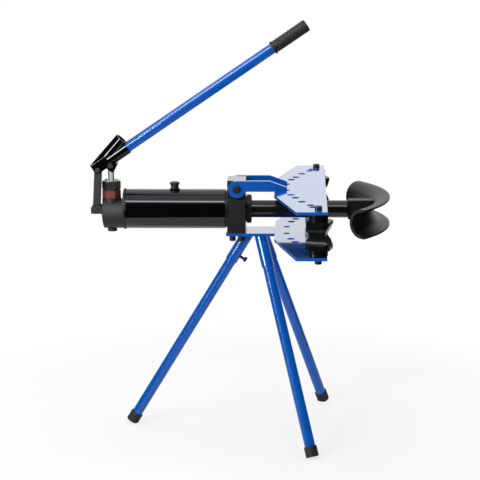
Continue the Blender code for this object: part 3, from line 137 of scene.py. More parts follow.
# Ram and former
RAM_NOSE_RADIUS = 0.012
RAM_NOSE_LENGTH = 0.024
RAM_TAIL_LENGTH = 0.025
FORMER_RIM_RADIUS = 0.3046
FORMER_GROOVE_RADIUS = 0.0302
FORMER_SHELL_RADIUS = 0.0382
FORMER_MOUTH = 0.0332
FORMER_LIP = 0.011
FORMER_RIM_CORNER = 0.0018
FORMER_HALF_ANGLE_DEG = 40.8
HUB_HALF_WIDTH = 0.015
HUB_HALF_HEIGHT = 0.026
HUB_INTO_SHELL = 0.0045
HUB_BORE = 0.0123
HUB_BORE_END = 0.0246

# Pump
NUT_ACROSS_CORNERS = 0.0500
NUT_CHAMFER = 0.0034
NUT_BORE = 0.0086
RING_BORE = 0.0084
SCREW_RECESS = 0.0012

# Linkage and lever head, in the lever's own directions from its pivot
LINK_RADIUS = 0.0099
LINK_HOLE = 0.0048
LINK_EDGE = 0.0016
PIN_CAP = 0.0022
RIVET_DISH = 0.0006
WEB_TOP = 0.0212
WEB_THICKNESS = 0.0060
WEB_BEND = 0.0032
HEAD_TAIL = 0.0102
HEAD_HALF_WIDTH = 0.0155
CHANNEL_HALF_WIDTH = 0.0090
CHANNEL_FLOOR = -0.048
CHANNEL_END = 0.046
CHEEK_OUTLINE = ((-0.0102, 0.0212), (-0.0102, -0.0035), (-0.0040, -0.0095), (0.0093, -0.0100),
                 (0.0225, -0.0095), (0.0252, -0.0215), (0.0295, -0.0270), (0.0355, -0.0270),
                 (0.0405, -0.0228), (0.0518, -0.0185), (0.0533, -0.0108), (0.0495, -0.0020),
                 (0.0485, 0.0124), (0.0480, 0.0212))
SOCKET_RADIUS = 0.0173
SOCKET_BORE = 0.0143
SOCKET_ROOT = 0.038
SOCKET_END = 0.0998
SOCKET_DEPTH = 0.045
SOCKET_ROUND = 128
REAR_SOCKET_TURN_DEG = 14.4
REAR_SOCKET_END = (0.0996, 0.0317)
REAR_SOCKET_LENGTH = 0.140
REAR_SOCKET_DEPTH = 0.025
REAR_SOCKET_REACH = 0.050
WELD_DEPTH = 0.001
PLUNGER_HOLE = 0.0061

# Handle and grip
HANDLE_RADIUS = 0.014
HANDLE_BORE = 0.0115
HANDLE_ABOVE_PIVOT = 0.0045
GRIP_START = 0.5655
GRIP_END = 0.6728
GRIP_CAP = 0.004
GRIP_RADIUS = 0.0156
GRIP_FLANGE_RADIUS = 0.0178
STUDS_START = 0.0125
STUDS_FROM_END = 0.0065
STUD_ROOT = 0.0002
STUD_TAPER = 0.62

# Filler plug
CAP_HEIGHT = 0.0074
CAP_RADIUS = 0.0119
CAP_DISH = 0.0008
RIB_PLACE = 0.0121
RIB_RADIUS = 0.0008
RIB_MARGIN = 0.0022
PLUG_RADIUS = 0.0105
PLUG_DEPTH = 0.0098
PLUG_STEM = 0.006

# Tripod
SCREW_FROM_TOP = 0.068
LEG_RADIUS = 0.014
LEG_WALL = 0.002
LEG_IN_SOCKET = 0.014
FOOT_SOLE = 0.0043
FOOT_RADIUS = 0.017
FOOT_SINK = 0.0035
FOOT_SIDE = [(0, 0.004), (0.0143, 0.004), (0.0143, 0.027), (0.0146, 0.0285, 0.0004),
             (0.0170, 0.027, 0.0012), (0.0168, 0.014), (0.0170, 0, 0.0010), (0, 0)]
FLOOR_TRIM = 0.06

# Stage: the gloss lamps have a place, a target, a size and a share of the brightness
STAGE_MIDDLE = (0, 0, 0.6)
SOFT_LAMP_SIZE = (1.8, 1.6)
SOFT_LAMPS = (("key", (-2.0, -2.4, 2.2), 1.0), ("top", (0.1, 0.3, 3.0), 0.5))
GLOSS_LAMPS = (("long_line", (-0.2, -1.56, 2.70), STAGE_MIDDLE, (2.4, 0.28), 0.7),
               ("upper_left", (-1.35, -1.40, 2.62), (-0.1, 0, 0.9), (1.0, 0.9), 0.6),
               ("left_line", (-0.78, -0.76, 0.75), (0, 0, 0.4), (0.11, 1.1), 2.5),
               ("steep_line", (-1.75, -0.95, 2.35), (-0.35, 0, 0.78), (0.6, 0.9), 0.8))
CAMERA_PLACE = (0.16031, -4.18287, 1.49454)
CAMERA_RIGHT = (0.99929344, 0.03711608, -0.00591751)
CAMERA_UP = (-0.00261321, 0.22567563, 0.97419899)
CAMERA_SENSOR_MM = 36.0
CAMERA_CLIP_END = 100.0
FLOOR_RADIUS = 12.0
FLOOR_BELOW = 0.0004
FLOOR_SEEN_WHITE = 0.75
FLOOR_FADE = (0.6, 2.0)
CURTAIN_ANGLES = (138, 402)
CURTAIN_ROWS = ((0.76, 0.003), (1.12, 0.003), (1.12, 1.62))
WHITE = (1.0, 1.0, 1.0)

Solid = namedtuple("Solid", "low high middle size")


def place(name):
    """Low corner, high corner, middle and size of a solid at rest."""
    low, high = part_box(name)
    return Solid(low, high, (low + high) / 2, high - low)


def on_axis(along):
    """A point on the ram's axis."""
    return (along, 0, RAM_AXIS_Z)


class Field:
    """A number that varies over a surface. Arithmetic on it adds Math nodes."""

    def __init__(self, graph, socket):
        self.graph = graph
        self.socket = socket

    def _math(self, operation, first, second):
        node = self.graph.node("ShaderNodeMath", {0: first, 1: second}, operation=operation)
        return Field(self.graph, node.outputs[0])

    def __add__(self, other):
        return self._math("ADD", self, other)

    def __sub__(self, other):
        return self._math("SUBTRACT", self, other)

    def __rsub__(self, other):
        return self._math("SUBTRACT", other, self)

    def __mul__(self, other):
        return self._math("MULTIPLY", self, other)

    __radd__ = __add__
    __rmul__ = __mul__

    def clamp(self):
        """The same number, held between 0 and 1."""
        return Field(self.graph, self.graph.node("ShaderNodeClamp", {"Value": self}).outputs[0])


class Tree:
    """The node tree of a material or of the world."""

    def __init__(self, owner):
        owner.use_nodes = True
        self.tree = owner.node_tree

    def node(self, kind, inputs, **settings):
        """A node with its settings made first, then the values or links of its sockets."""
        node = self.tree.nodes.new(kind)
        for key, value in settings.items():
            setattr(node, key, value)
        for key, value in inputs.items():
            self.feed(node.inputs[key], value)
        return node

    def feed(self, socket, value):
        """Link a field or a socket, or set a plain value. A colour gets its alpha."""
        if isinstance(value, Field):
            value = value.socket
        if isinstance(value, bpy.types.NodeSocket):
            self.tree.links.new(value, socket)
        elif isinstance(value, tuple) and len(value) == 3 and len(socket.default_value) == 4:
            socket.default_value = (*value, 1.0)
        else:
            socket.default_value = value


class Graph(Tree):
    """The node tree of one finish."""

    def __init__(self, material):
        super().__init__(material)
        self.shader = self.tree.nodes["Principled BSDF"]
        self.output = self.tree.nodes["Material Output"]
        self.place = self.node("ShaderNodeTexCoord", {}).outputs["Object"]

    def noise(self, scale, detail, roughness=0.5, stretch=None):
        """Noise about 0.5, with its cells a given number to the metre."""
        spot = self.place
        if stretch:
            spot = self.node("ShaderNodeMapping", {"Vector": spot, "Scale": stretch}).outputs[0]
        node = self.node("ShaderNodeTexNoise", {"Vector": spot, "Scale": scale, "Detail": detail,
                                                "Roughness": roughness})
        return Field(self, node.outputs["Fac"])

    def cells(self, scale):
        """Distance to the nearest of a cloud of points, 0 at a point."""
        node = self.node("ShaderNodeTexVoronoi", {"Vector": self.place, "Scale": scale})
        return Field(self, node.outputs["Distance"])

    def step(self, value, low, high):
        """0 below low, 1 above high and smooth between them."""
        node = self.node("ShaderNodeMapRange", {"Value": value, "From Min": low, "From Max": high},
                         interpolation_type="SMOOTHSTEP")
        return Field(self, node.outputs["Result"])

    def blend(self, factor, first, second):
        """A colour that runs from the first to the second."""
        node = self.node("ShaderNodeMix", {0: factor, 6: first, 7: second}, data_type="RGBA")
        return node.outputs[2]

    def glancing(self, low, high):
        """0 where the surface faces the eye, 1 where it is seen edge on."""
        node = self.node("ShaderNodeLayerWeight", {"Blend": 0.5})
        return self.step(Field(self, node.outputs["Facing"]), low, high)

    def mix_surface(self, factor, second):
        """Mix another shader into the surface."""
        mixed = self.node("ShaderNodeMixShader", {0: factor, 1: self.shader.outputs[0],
                                                  2: second.outputs[0]})
        self.tree.links.new(mixed.outputs[0], self.output.inputs["Surface"])

    def mirror_at_low_angles(self, tint, share, rough):
        """Mix in a pale mirror where a flat sheet is seen from a low angle."""
        mirror = self.node("ShaderNodeBsdfPrincipled", {"Base Color": tint, "Metallic": 1.0,
                                                        "Roughness": rough})
        self.mix_surface(self.glancing(0.45, 0.68) * share, mirror)

    def relief(self, height, distance, edge=0.0):
        """Bump of a height field over a given depth, over softened edges if asked."""
        inputs = {"Height": height, "Distance": distance, "Strength": 1.0}
        if edge:
            inputs["Normal"] = self.node("ShaderNodeBevel", {"Radius": edge}, samples=6).outputs[0]
        return self.node("ShaderNodeBump", inputs).outputs[0]

    def set(self, **values):
        """Feed the main shader's inputs, named in lower case with underscores."""
        names = {name.lower().replace(" ", "_"): name for name in self.shader.inputs.keys()}
        for key, value in values.items():
            self.feed(self.shader.inputs[names[key]], value)


def shade(colour, factor):
    return tuple(channel * factor for channel in colour)


def finish(name):
    """A new material and its graph."""
    material = bpy.data.materials.new(name)
    return material, Graph(material)


def gloss_paint(name, colour, peel, sheen=None):
    """Gloss paint: orange peel, flow and a little dust. A flat sheet mirrors at low angles."""
    material, graph = finish(name)
    flow = graph.noise(35.0, 3.0)
    texture = graph.noise(420.0, 2.0) * 0.7 + graph.noise(1500.0, 1.0) * 0.3
    dust = graph.step(graph.noise(2600.0, 0.0), 0.74, 0.82)
    base = graph.blend(flow, shade(colour, 0.95), shade(colour, 1.05))
    dusty = tuple(0.95 * channel + 0.012 for channel in colour)
    graph.set(base_color=graph.blend(dust * 0.3, base, dusty),
              roughness=0.16 + 0.04 * dust,
              normal=graph.relief(texture, peel))
    if sheen:
        graph.mirror_at_low_angles(sheen, 0.50, 0.04)
    return material


def enamel(name, colour):
    """Deep black stove enamel with long soft waves."""
    material, graph = finish(name)
    waves = graph.noise(60.0, 2.0)
    texture = graph.noise(600.0, 2.0) * 0.5 + waves * 0.5
    graph.set(base_color=graph.blend(waves, shade(colour, 0.8), shade(colour, 1.3)),
              roughness=0.07 + 0.04 * waves,
              normal=graph.relief(texture, 0.00001))
    return material


def satin_black(name, colour, sheen=None):
    """Satin paint over a milled block: fine grain and faint cutter lines under the paint."""
    material, graph = finish(name)
    grain = graph.noise(1400.0, 3.0, 0.6)
    cloud = graph.noise(26.0, 3.0)
    lines = graph.noise(900.0, 1.0, 0.5, (0.04, 1.0, 1.0))
    graph.set(base_color=graph.blend(cloud, shade(colour, 0.85), shade(colour, 1.2)),
              roughness=0.36 + 0.10 * grain + 0.06 * cloud,
              specular_ior_level=0.3,
              normal=graph.relief(grain * 0.6 + lines * 0.4, 0.000012, 0.0006))
    if sheen:
        graph.mirror_at_low_angles(sheen, 0.54, 0.10)
    return material


def casting(name, colour, depth, rough, edge=0.0010, shine=0.34):
    """Painted sand casting: rounded grain, shallow pits with painted shade at their centres, and a
    cloudy tone.
    """
    material, graph = finish(name)
    grain = graph.noise(520.0, 4.0, 0.65)
    pits = graph.step(graph.cells(260.0), 0.0, 0.34)
    cloud = graph.noise(18.0, 4.0, 0.6)
    tone = graph.blend(cloud, shade(colour, 0.72), shade(colour, 1.3))
    # Painted shade: the base colour darkens towards each pit's centre, where the bump sinks.
    graph.set(base_color=graph.blend((1.0 - pits) * 0.6, tone, shade(colour, 0.45)),
              roughness=rough + 0.14 * grain + 0.05 * cloud,
              specular_ior_level=shine,
              normal=graph.relief(grain * 0.55 + pits * 0.45, depth, edge))
    return material


def turned_steel(name, colour, rough, axis, edge, metallic=1.0):
    """Turned or drawn steel: fine marks that run round or along the piece, with a faint haze."""
    material, graph = finish(name)
    stretch = [0.05, 0.05, 0.05]
    stretch[axis] = 1.0
    marks = graph.noise(2400.0, 2.0, 0.6, stretch)
    haze = graph.noise(45.0, 3.0)
    graph.set(base_color=graph.blend(haze, shade(colour, 0.86), shade(colour, 1.12)),
              roughness=rough + 0.10 * marks + 0.05 * haze,
              metallic=metallic,
              normal=graph.relief(marks, 0.000006, edge))
    return material


def chrome(name):
    """Polished chrome with the studio's reflections painted into its colour by viewing angle: a
    dark line where it faces the eye, a painted light streak beside it, a dark band, then a pale
    painted rim where it is seen edge on.
    """
    material, graph = finish(name)
    marks = graph.noise(1800.0, 2.0, 0.5, (1.0, 1.0, 0.05))
    # Painted reflection: a light streak just off the part that faces the eye, and a pale rim where
    # the bar is seen edge on, both put into the base colour.
    bright = graph.glancing(0.006, 0.02) * (1.0 - graph.glancing(0.12, 0.22))
    rim = graph.glancing(0.55, 0.8) * 0.4
    tone = graph.blend((bright + rim).clamp(), (0.05, 0.05, 0.054), (0.86, 0.87, 0.88))
    graph.set(base_color=tone,
              roughness=0.06 + 0.06 * marks,
              metallic=0.35,
              normal=graph.relief(marks, 0.000002))
    return material


def oxide(name, colour, edge):
    """Blackened steel: blue-black with brown bloom and worn specks."""
    material, graph = finish(name)
    bloom = graph.noise(70.0, 4.0, 0.6)
    specks = graph.step(graph.noise(1100.0, 1.0), 0.66, 0.74)
    brown = (colour[0] * 1.7, colour[1] * 1.4, colour[2] * 1.2)
    tone = graph.blend(bloom, shade(colour, 0.7), brown)
    graph.set(base_color=graph.blend(specks * 0.4, tone, (0.05, 0.048, 0.045)),
              roughness=0.34 + 0.16 * bloom - 0.1 * specks,
              specular_ior_level=0.35,
              normal=graph.relief(graph.noise(800.0, 2.0), 0.000012, edge))
    return material


def copper_brown(name, colour, edge):
    """Copper-brown plated steel, dulled in patches and lighter in streaks that run up and down."""
    material, graph = finish(name)
    bloom = graph.noise(90.0, 4.0, 0.65)
    streaks = graph.noise(700.0, 2.0, 0.5, (1.0, 1.0, 0.1))
    tone = graph.blend(bloom, shade(colour, 0.65), shade(colour, 1.45))
    graph.set(base_color=graph.blend(streaks * 0.35, tone, (0.28, 0.12, 0.07)),
              roughness=0.34 + 0.2 * bloom,
              specular_ior_level=0.12,
              metallic=0.25,
              normal=graph.relief(streaks, 0.00001, edge))
    return material


def moulded_rubber(name, colour):
    """Moulded rubber: fine matt grain with a dusty bloom."""
    material, graph = finish(name)
    grain = graph.noise(1300.0, 3.0, 0.6)
    bloom = graph.noise(55.0, 4.0, 0.6)
    graph.set(base_color=graph.blend(bloom, shade(colour, 0.75), shade(colour, 1.5)),
              roughness=0.52 + 0.18 * grain,
              specular_ior_level=0.35,
              normal=graph.relief(grain, 0.00003))
    return material


def place_along(direction, origin):
    """A placement whose local Z runs along a direction."""
    turn = Vector(direction).normalized().to_track_quat("Z", "Y").to_matrix().to_4x4()
    return Matrix.Translation(Vector(origin)) @ turn


def upright(across):
    """A placement that stands an outline up over X and Z, with its far side at a given Y."""
    return Matrix.Translation((0, across, 0)) @ Matrix.Rotation(math.pi / 2, 4, "X")


def rounded(points, radius=0.0, segments=4, closed=True):
    """A polyline with its corners rounded. A third number on a point is its own radius."""
    result = []
    count = len(points)
    for index, point in enumerate(points):
        here = Vector(point[:2])
        size = point[2] if len(point) > 2 else radius
        if not closed and index in (0, count - 1):
            result.append(tuple(here))
            continue
        before = Vector(points[index - 1][:2]) - here
        after = Vector(points[(index + 1) % count][:2]) - here
        angle = before.angle(after)
        if size <= 0 or angle > math.pi - 0.02:
            result.append(tuple(here))
            continue
        reach = min(size / math.tan(angle / 2), before.length * 0.49, after.length * 0.49)
        start = here + before.normalized() * reach
        end = here + after.normalized() * reach
        for k in range(segments + 1):
            t = k / segments
            result.append(tuple(start * (1 - t) ** 2 + here * 2 * t * (1 - t) + end * t ** 2))
    return result


def circle(x, y, radius, count=SMALL_ROUND):
    step = math.tau / count
    return [(x + radius * math.cos(k * step), y + radius * math.sin(k * step))
            for k in range(count)]


def arc(centre, radius, start_deg, end_deg, count):
    angles = [math.radians(start_deg + (end_deg - start_deg) * k / count) for k in range(count + 1)]
    return [(centre[0] + radius * math.cos(a), centre[1] + radius * math.sin(a)) for a in angles]


def bar(radius, length, far_corner=0.0, near_corner=0.0):
    """Profile of a plain bar from its far end back to its start."""
    return [(0, length), (radius, length, far_corner), (radius, 0, near_corner), (0, 0)]


def sleeve(bore, radius, length, far_corner, near_corner):
    """Closed profile of a plain tube."""
    return [(bore, length), (radius, length, far_corner), (radius, 0, near_corner), (bore, 0)]


def smooth(mesh, sharp_deg):
    """Shade round faces smooth and keep the edges above an angle sharp."""
    mesh.shade_smooth()
    mesh.set_sharp_from_angle(angle=math.radians(sharp_deg))


def to_object(name, bm, matrix=Matrix.Identity(4), sharp_deg=32.0):
    """An object at the origin whose mesh holds its place, with smooth round faces."""
    bm.transform(matrix)
    mesh = bpy.data.meshes.new(name)
    bm.to_mesh(mesh)
    bm.free()
    smooth(mesh, sharp_deg)
    item = bpy.data.objects.new(name, mesh)
    bpy.context.scene.collection.objects.link(item)
    return item


def discard(item):
    """Remove a helper shape and its mesh."""
    mesh = item.data
    bpy.data.objects.remove(item)
    bpy.data.meshes.remove(mesh)


def closed_loop(bm, points):
    """The vertices and edges of a closed line."""
    verts = [bm.verts.new(point) for point in points]
    return verts, [bm.edges.new(pair) for pair in zip(verts, verts[1:] + verts[:1])]


def corners(bm, least):
    """Edges where two faces meet at more than an angle in radians."""
    return [e for e in bm.edges if len(e.link_faces) == 2 and e.calc_face_angle(0) > least]


def soften(bm, edges, width, steps, clamp=True):
    bmesh.ops.bevel(bm, geom=edges, offset=width, offset_type="OFFSET", affect="EDGES",
                    segments=steps, profile=0.5, material=-1, clamp_overlap=clamp)


def turned(name, profile, start, direction, segments=ROUND, corner=0.0, closed=False):
    """A turned piece. The profile holds (radius, height, corner radius) down its outer side."""
    if corner or any(len(point) > 2 for point in profile):
        profile = rounded(profile, corner, 4, closed)
    bm = bmesh.new()
    verts = [bm.verts.new((point[0], 0, point[1])) for point in profile]
    pairs = list(zip(verts, verts[1:]))
    if closed:
        pairs.append((verts[-1], verts[0]))
    edges = [bm.edges.new(pair) for pair in pairs]
    bmesh.ops.spin(bm, geom=verts + edges, cent=(0, 0, 0), axis=(0, 0, 1), angle=math.tau,
                   steps=segments, use_merge=True, use_duplicate=False)
    bmesh.ops.remove_doubles(bm, verts=bm.verts, dist=0.000002)
    bmesh.ops.recalc_face_normals(bm, faces=bm.faces)
    return to_object(name, bm, place_along(direction, start))


def plate(name, outline, holes, thickness, matrix, edge=0.0):
    """A flat plate with holes and softened rims, standing from local Z 0 to its thickness."""
    bm = bmesh.new()
    edges = []
    for loop in [outline] + holes:
        edges += closed_loop(bm, [(point[0], point[1], 0) for point in loop])[1]
    bmesh.ops.triangle_fill(bm, use_beauty=True, use_dissolve=False, edges=edges)
    rise = bmesh.ops.extrude_face_region(bm, geom=list(bm.faces))
    moved = [v for v in rise["geom"] if isinstance(v, bmesh.types.BMVert)]
    bmesh.ops.translate(bm, vec=(0, 0, thickness), verts=moved)
    bmesh.ops.recalc_face_normals(bm, faces=bm.faces)
    bmesh.ops.dissolve_limit(bm, angle_limit=0.002, verts=bm.verts, edges=bm.edges)
    if edge:
        soften(bm, corners(bm, 0.6), edge, EDGE_STEPS)
    return to_object(name, bm, matrix)


def block(name, low, high, edge=0.0):
    """A box between two corners, with softened edges if asked."""
    bm = bmesh.new()
    bmesh.ops.create_cube(bm, size=1.0)
    bmesh.ops.scale(bm, vec=[h - l for l, h in zip(low, high)], verts=bm.verts)
    bmesh.ops.translate(bm, vec=[(l + h) / 2 for l, h in zip(low, high)], verts=bm.verts)
    if edge:
        soften(bm, list(bm.edges), edge, EDGE_STEPS, False)
    return to_object(name, bm)


def rod(name, radius, start, direction, length, segments=SMALL_ROUND, turn=0.0):
    """A plain bar used to cut or to join."""
    bm = bmesh.new()
    spin = Matrix.Translation((0, 0, length / 2)) @ Matrix.Rotation(turn, 4, "Z")
    bmesh.ops.create_cone(bm, cap_ends=True, segments=segments, radius1=radius, radius2=radius,
                          depth=length, matrix=spin)
    return to_object(name, bm, place_along(direction, start))


def carve(item, tools, operation="DIFFERENCE"):
    """Cut with, join or keep the part inside other shapes, which are used up."""
    for tool in tools:
        modifier = item.modifiers.new("carve", "BOOLEAN")
        modifier.operation = operation
        modifier.solver = "EXACT"
        modifier.object = tool
        bpy.context.view_layer.update()
        graph = bpy.context.evaluated_depsgraph_get()
        mesh = bpy.data.meshes.new_from_object(item.evaluated_get(graph))
        item.modifiers.remove(modifier)
        old = item.data
        item.data = mesh
        bpy.data.meshes.remove(old)
        discard(tool)
    if len(item.data.polygons) == 0:
        raise RuntimeError(f"{item.name} has no faces left")


def tidy(item, edge=0.0, sharp_deg=32.0, bevel_deg=38.0):
    """Merge and square up a carved mesh, then soften the edges that a cutter left."""
    bm = bmesh.new()
    bm.from_mesh(item.data)
    bmesh.ops.remove_doubles(bm, verts=bm.verts, dist=0.00001)
    bmesh.ops.dissolve_limit(bm, angle_limit=0.008, verts=bm.verts, edges=bm.edges)
    if edge:
        soften(bm, corners(bm, math.radians(bevel_deg)), edge, CUT_EDGE_STEPS)
    bm.to_mesh(item.data)
    bm.free()
    smooth(item.data, sharp_deg)
    return item


def merge(item, other):
    """Add another mesh's faces to a piece."""
    bm = bmesh.new()
    bm.from_mesh(item.data)
    bm.from_mesh(other.data)
    bm.to_mesh(item.data)
    bm.free()
    discard(other)
    smooth(item.data, 35)


def hex_piece(name, across_corners, height, chamfer, start, direction, turn=0.0, bore=0.0,
              segments=TUBE_ROUND):
    """A hexagonal nut or head with turned chamfers on its corners."""
    radius = across_corners / 2
    item = rod(name, radius, start, direction, height, 6, turn)
    drop = chamfer * 0.55
    outside = radius + 0.0002
    shape = [(0, height), (radius - chamfer, height), (outside, height - drop), (outside, drop),
             (radius - chamfer, 0), (0, 0)]
    carve(item, [turned(name + "_cone", shape, start, direction, segments)], "INTERSECT")
    if bore:
        below = Vector(start) - Vector(direction).normalized() * 0.002
        carve(item, [rod(name + "_bore", bore, below, direction, height + 0.004, 64)])
    return tidy(item, 0.0003, 25.0, 24.0)


def tint(label, about, value):
    """A colour in the panel."""
    return bpy.props.FloatVectorProperty(name=label, description=about, subtype="COLOR", size=3,
                                         min=0, max=1, default=value)


def measure(label, about, value, low, high, **more):
    """A length in the panel."""
    return bpy.props.FloatProperty(name=label, description=about, default=value, min=low,
                                   max=high, unit="LENGTH", **more)


def number(label, about, value, low, high):
    """A count in the panel."""
    return bpy.props.IntProperty(name=label, description=about, default=value, min=low, max=high)


def level(label, about, value, high):
    """A strength in the panel."""
    return bpy.props.FloatProperty(name=label, description=about, default=value, min=0, max=high)


class BenderColours(bpy.types.PropertyGroup):
    """Colours of the finishes."""

    paint: tint("Blue paint", "Colour of the plates, arms, legs and handle", (0.0, 0.090, 0.43))
    sheen: tint("Plate sheen", "Tint of the plates' reflection at low angles", (0.92, 0.95, 1.0))
    enamel: tint("Black enamel", "Colour of the cylinder and lever head", (0.002, 0.002, 0.0022))
    satin: tint("Satin black", "Colour of the front block and nuts", (0.010, 0.010, 0.010))
    grey_casting: tint("Grey casting", "Colour of the pump body and link", (0.012, 0.012, 0.0122))
    black_casting: tint("Black casting", "Colour of the former and blocks", (0.007, 0.007, 0.007))
    copper: tint("Copper plate", "Colour of the lower pump nut", (0.105, 0.030, 0.019))
    rubber: tint("Rubber", "Colour of the grip and feet", (0.012, 0.012, 0.012))
    floor: tint("Floor", "Colour of the floor", (0.9, 0.9, 0.9))


class BenderSizes(bpy.types.PropertyGroup):
    """Sizes that the solids leave open."""

    plate_edge: measure("Plate edge", "Rounding of the plates' edges", 0.0009, 0.0001, 0.003)
    orange_peel: measure("Orange peel", "Depth of the paint's texture", 0.000002, 0, 0.0005,
                         precision=5)
    stud_rows: number("Stud rings", "Rings of studs along the grip", 15, 3, 30)
    studs_round: number("Studs in a ring", "Studs in each ring of the grip", 10, 4, 20)
    stud_radius: measure("Stud radius", "Radius of one stud on the grip", 0.0027, 0.001, 0.005)
    stud_height: measure("Stud height", "How far a stud stands out", 0.0012, 0.0002, 0.003)
    cap_ribs: number("Cap ribs", "Ribs round the filler plug's cap", 30, 8, 80)


class BenderStage(bpy.types.PropertyGroup):
    """Camera and light."""

    lens: bpy.props.FloatProperty(name="Lens", description="Focal length for a 36 mm frame",
                                  default=120.1, min=20, max=300, unit="CAMERA")
    world_level: level("World level", "Strength of the even light", 0.45, 3)
    key_level: level("Key level", "Power of the large front lamp in watts", 66.0, 1000)
    line_level: level("Line level", "Brightness of the lines that gloss shows", 14.0, 1000)


def colours():
    return bpy.context.scene.bender_colours


def sizes():
    return bpy.context.scene.bender_sizes


FINISHES = {}


def worn(kind):
    """The shared finish of a kind, made the first time that a piece asks for it."""
    if kind in FINISHES:
        return FINISHES[kind]
    tone = colours()
    peel = sizes().orange_peel
    sheen = tuple(tone.sheen)
    makers = {
        "blue": lambda: gloss_paint("blue_gloss_paint", tone.paint, peel * 0.1),
        "blue_sheet": lambda: gloss_paint("blue_paint_on_plate", tone.paint, peel, sheen),
        "enamel": lambda: enamel("black_enamel", tone.enamel),
        "satin": lambda: satin_black("satin_black", tone.satin),
        "satin_sheet": lambda: satin_black("satin_black_on_block", tone.satin, sheen),
        "grey_cast": lambda: casting("grey_casting", tone.grey_casting, 0.00012, 0.42),
        "black_cast": lambda: casting("black_casting", tone.black_casting, 0.00005, 0.30),
        "black_gloss_cast": lambda: casting("black_glossed_casting", shade(tone.black_casting, 0.5),
                                            0.00003, 0.16, 0.0008, 0.3),
        "oxide": lambda: oxide("black_oxide", (0.012, 0.012, 0.013), 0.0004),
        "ram": lambda: turned_steel("dark_ram_steel", (0.006, 0.006, 0.0062), 0.12, 0, 0.0004, 0.0),
        "chrome": lambda: chrome("chrome_with_painted_reflections"),
        "copper": lambda: copper_brown("copper_brown_plate", tone.copper, 0.0005),
        "zinc": lambda: turned_steel("bright_zinc", (0.36, 0.36, 0.35), 0.24, 2, 0.0003),
        "steel": lambda: turned_steel("ground_steel", (0.5, 0.5, 0.5), 0.28, 0, 0.0003),
        "bronze": lambda: turned_steel("turned_bronze", (0.46, 0.29, 0.12), 0.28, 0, 0.0003),
        "rubber": lambda: moulded_rubber("moulded_rubber", tone.rubber),
    }
    FINISHES[kind] = makers[kind]()
    return FINISHES[kind]


def wear(item, kind, body, node):
    """Dress a finished piece: its finish, the body that it rides on and the solid it stands for."""
    item.data.materials.clear()
    item.data.materials.append(worn(kind))
    weighted = item.modifiers.new("level_faces", "WEIGHTED_NORMAL")
    weighted.weight = 100
    weighted.keep_sharp = True
    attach(item, body)
    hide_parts(node)


def dress_solid(node, kind, edge=0.0):
    """Keep a solid that is right as it is, with a better finish and softened edges."""
    item = frame["nodes"][node]
    item.data.materials.clear()
    item.data.materials.append(worn(kind))
    if edge:
        soft = item.modifiers.new("soft_edges", "BEVEL")
        soft.width = edge
        soft.segments = EDGE_STEPS
        soft.limit_method = "ANGLE"
        soft.angle_limit = math.radians(35)
        soft.harden_normals = True


def level_sheet(name, node, body, outline, holes):
    """A painted plate that lies level in its solid's place."""
    solid = place(node)
    seat = Matrix.Translation((0, 0, solid.low.z))
    sheet = plate(name, outline, holes, solid.size.z, seat, sizes().plate_edge)
    wear(sheet, "blue_sheet", body, node)


def wing_plate(node, body):
    """A wing plate with its two rows of pin holes."""
    solid = place(node)
    low, high = solid.low, solid.high
    taper = low.x + PLATE_TAPER_REACH
    outline = [(low.x, -PLATE_TAIL_HALF, 0.004), (taper, low.y, 0.003), (high.x, low.y, 0.0015),
               (high.x, high.y, 0.0015), (taper, high.y, 0.003), (low.x, PLATE_TAIL_HALF, 0.004)]
    holes = []
    for side in (-1, 1):
        for along, across in PIN_STEPS:
            holes.append(circle(low.x + along, side * across, PIN_HOLE_RADIUS))
        holes.append(circle(low.x + TIP_HOLE[0], side * TIP_HOLE[1], TIP_HOLE[2], 40))
    level_sheet(f"{node}_body", node, body, rounded(outline), holes)


def lever_axes():
    """The lever's pivot, its direction along the handle and the direction square to it."""
    pivot = Vector(JOINTS["lever_pump"]["pos_m"])
    ahead = Vector(JOINTS["handle_pull"]["axis"]).normalized()
    return pivot, ahead, Vector((-ahead.z, 0, ahead.x))


def lever_point(along, above):
    pivot, ahead, square = lever_axes()
    return pivot + ahead * along + square * above


class Piece(bpy.types.Operator):
    """Base of the operators that build pieces."""

    bl_options = {"REGISTER", "UNDO"}

    def execute(self, context):
        self.make()
        return {"FINISHED"}


class BENDER_OT_cylinder(Piece):
    """Build the reservoir tube, its collar and flange, and finish the parts inside"""

    bl_idname = "bender.cylinder"
    bl_label = "Cylinder"

    def make(self):
        solid = place("reservoir_tube")
        outer = solid.size.z / 2
        profile = sleeve(outer - RESERVOIR_WALL, outer, solid.size.x, 0.0012, 0.0012)
        tube = turned("reservoir_tube_shell", profile, on_axis(solid.low.x), X_AXIS, LARGE_ROUND,
                      0.0002, True)
        filler = place("filler_plug").middle
        carve(tube, [rod("filler_hole", FILLER_HOLE_RADIUS, on_axis(filler.x), Z_AXIS, 0.1)])
        wear(tidy(tube), "enamel", "frame", "reservoir_tube")

        solid = place("front_collar")
        profile = sleeve(COLLAR_BORE, solid.size.z / 2, solid.size.x, 0.0008, 0.0008)
        collar = turned("front_collar_ring", profile, on_axis(solid.low.x), X_AXIS, COLLAR_ROUND,
                        0.0001, True)
        wear(collar, "satin", "frame", "front_collar")

        solid = place("rear_flange")
        outer = solid.size.z / 2
        spigot = outer - FLANGE_STEP
        profile = [(0, solid.size.x), (spigot, solid.size.x), (spigot, FLANGE_RIM),
                   (outer, FLANGE_RIM, 0.0014), (outer, 0, 0.0014), (0, 0)]
        flange = turned("rear_flange_ring", profile, on_axis(solid.low.x), X_AXIS, LARGE_ROUND)
        wear(flange, "grey_cast", "frame", "rear_flange")

        for node, kind in (("pressure_tube", "steel"), ("return_spring", "steel"),
                           ("piston", "steel"), ("ram_guide_bush", "bronze"),
                           ("ram_seal", "rubber"), ("piston_seal", "rubber")):
            dress_solid(node, kind)


